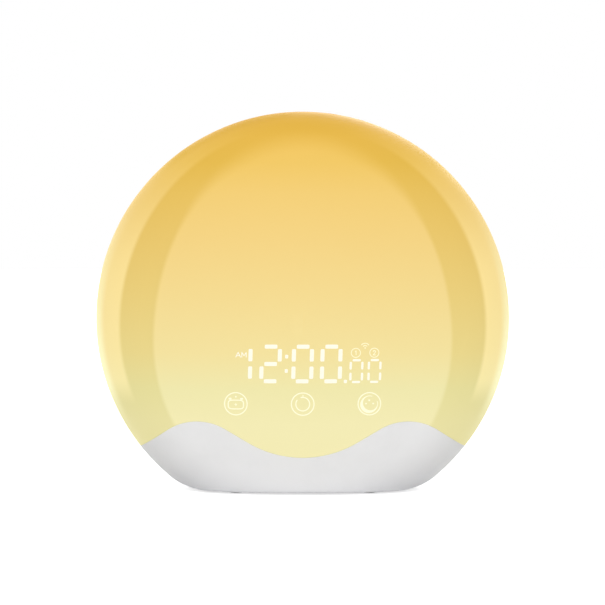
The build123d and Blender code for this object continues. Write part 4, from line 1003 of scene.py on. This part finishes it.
# In mm
CONTACTS = 12                 # how many on each side of the tongue
CONTACT_PITCH = 0.5
CONTACT_HALF = 0.12           # half a contact's width
CONTACT_REACH = (3.4, 0.5)    # from the tongue's rear end to the contact's front and rear ends
CONTACT_LEVELS = (0.33, 0.38)     # of its two faces from the tongue's middle

tongue_low, tongue_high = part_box("socket_tongue")
contact_x = (np.arange(CONTACTS) - (CONTACTS - 1) / 2) * CONTACT_PITCH * MM
front_y, rear_y = (tongue_high.y - reach * MM for reach in CONTACT_REACH)
socket_z = (tongue_low.z + tongue_high.z) / 2


def contact_corners(x, y, z):
    """The corners at those x, all at one y and z."""
    return np.stack([x, 0 * x + y, 0 * x + z], -1)


lows, highs = [], []
for side in (-1, 1):
    near, far = sorted(socket_z + side * level * MM for level in CONTACT_LEVELS)
    lows.append(contact_corners(contact_x - CONTACT_HALF * MM, front_y, near))
    highs.append(contact_corners(contact_x + CONTACT_HALF * MM, rear_y, far))
contacts = slabs(np.concatenate(lows), np.concatenate(highs))
piece("socket_contacts", [contacts], "contact_gold", "case")

# ------------------------------------------------------------------ signs on the underside
# In mm
ARROW_RADIUS = 9.2
ARROW_TURN = (60, 120)        # degrees, from the arrow's tip to its tail
ARROW_HEAD = ((3.2, -2.2), (4.6, -3.55), (3.0, -4.6))
ARROW_LINE = 0.5
COVER_TURN = math.radians(45)     # from locked to free, towards +X
STOP_REACH = 15.6             # of the stop marks from the cover's axis, clear of its lug notches
LOCKED_PLACE = (0, COVER_Y + STOP_REACH)
OPEN_PLACE = (STOP_REACH * math.sin(COVER_TURN), COVER_Y + STOP_REACH * math.cos(COVER_TURN))
LOCKED_HALF = (0.7, 0.7)      # half width and half height
OPEN_RADIUS = 0.8
OPEN_LINE = 0.4
turn_arrow = [
    stroke(
        floor_skin,
        arc(mm((0, COVER_Y))[0], ARROW_RADIUS * MM, *ARROW_TURN, steps=30),
        ARROW_LINE * MM,
    ),
    stroke(floor_skin, bent(mm(*ARROW_HEAD)), ARROW_LINE * MM),
]
piece("cover_arrow", turn_arrow, "print_grey", "battery_cover")
open_ring = circle(mm(OPEN_PLACE)[0], OPEN_RADIUS * MM, steps=32)
stop_marks = [
    spots(floor_skin, LOCKED_HALF, LOCKED_PLACE),
    stroke(floor_skin, open_ring, OPEN_LINE * MM, True),
]
piece("cover_stops", stop_marks, "print_grey", "case")


# ------------------------------------------------------------------ stage and lamps
FLOOR_RADIUS = 2.4
FLOOR_GLOW = 0.7              # of white, where the floor is looked at or mirrored
WORLD_LIGHT = 0.265           # of white, that the surroundings give the pieces
LAMP_SIZE = 1.4
LAMPS = (                     # name, place and power in watts
    ("lamp_front", (-0.45, -2.3, 1.3), 36.5),
    ("lamp_front_right", (1.0, -2.2, 0.9), 11.5),
    ("lamp_rear", (0.6, 2.3, 1.4), 32),
    ("lamp_rear_left", (-1.0, 2.2, 0.9), 10),
    ("lamp_top", (0.0, -0.2, 2.4), 6),
)


def seen(tree):
    """1 where a surface is looked at directly or mirrored, and 0 where it only gives light."""
    path = put(tree, "ShaderNodeLightPath")
    return maths(tree, "MAXIMUM", path.outputs["Is Camera Ray"], path.outputs["Is Glossy Ray"])


def make_floor():
    """A flat round floor: point (s, t) is at s times the radius, at turn t."""
    rings, around = 12, 96
    share = (np.arange(1, rings + 1) / rings)[:, None]
    turn = np.linspace(0, 2 * np.pi, around, endpoint=False)[None, :]
    verts = np.stack([share * np.cos(turn), share * np.sin(turn), 0 * share * turn], -1)
    verts = np.concatenate([(verts * FLOOR_RADIUS).reshape(-1, 3), [[0, 0, 0]]])
    k = np.arange(rings - 1)[:, None] * around
    i = np.arange(around)[None, :]
    j = (i + 1) % around
    quads = np.stack([k + i, k + around + i, k + around + j, k + j], -1).reshape(-1, 4).tolist()
    middle = rings * around
    fan = np.stack([0 * i[0] + middle, i[0], j[0]], -1).tolist()
    mesh = bpy.data.meshes.new("studio_floor")
    mesh.from_pydata(verts.tolist(), [], quads + fan)
    floor = add_object("studio_floor", mesh)
    material, tree, shader, place = new_material("floor_white")
    wear = use_group(tree, soft_wear, place, Scale=3.0).outputs["Mask"]
    paper = mix_colours(tree, wear, (0.8, 0.8, 0.8, 1), (0.79, 0.79, 0.79, 1))
    fill(shader, Roughness=0.9, Specular_IOR_Level=0.1)
    glow = put(tree, "ShaderNodeEmission")
    both = put(tree, "ShaderNodeAddShader")
    wire(
        tree,
        (paper, shader.inputs["Base Color"]),
        (times(tree, seen(tree), FLOOR_GLOW), glow.inputs["Strength"]),
        (shader.outputs[0], both.inputs[0]),
        (glow.outputs[0], both.inputs[1]),
        (both.outputs[0], tree.nodes["Material Output"].inputs["Surface"]),
    )
    mesh.materials.append(material)


def make_world():
    """Even pale light, and plain white where it is looked at directly or mirrored."""
    world = bpy.data.worlds.new("studio")
    bpy.context.scene.world = world
    world.use_nodes = True
    tree = world.node_tree
    background = fill(tree.nodes["Background"], Color=(1, 1, 1, 1))
    wire(tree, (vary(tree, seen(tree), WORLD_LIGHT, 1.0), background.inputs["Strength"]))


def make_lamp(name, place, power):
    """A square soft lamp that faces the case's middle."""
    data = bpy.data.lights.new(name, "AREA")
    data.shape = "SQUARE"
    data.size = LAMP_SIZE
    data.energy = power
    lamp = add_object(name, data)
    lamp.location = place
    aim = np.array([0, 0, CENTRE_Z]) - np.array(place)
    away = math.hypot(aim[0], aim[1])
    lamp.rotation_euler = (math.atan2(away, -aim[2]), 0, math.atan2(-aim[0], aim[1]))


make_floor()
make_world()
for name, place, power in LAMPS:
    make_lamp(name, place, power)
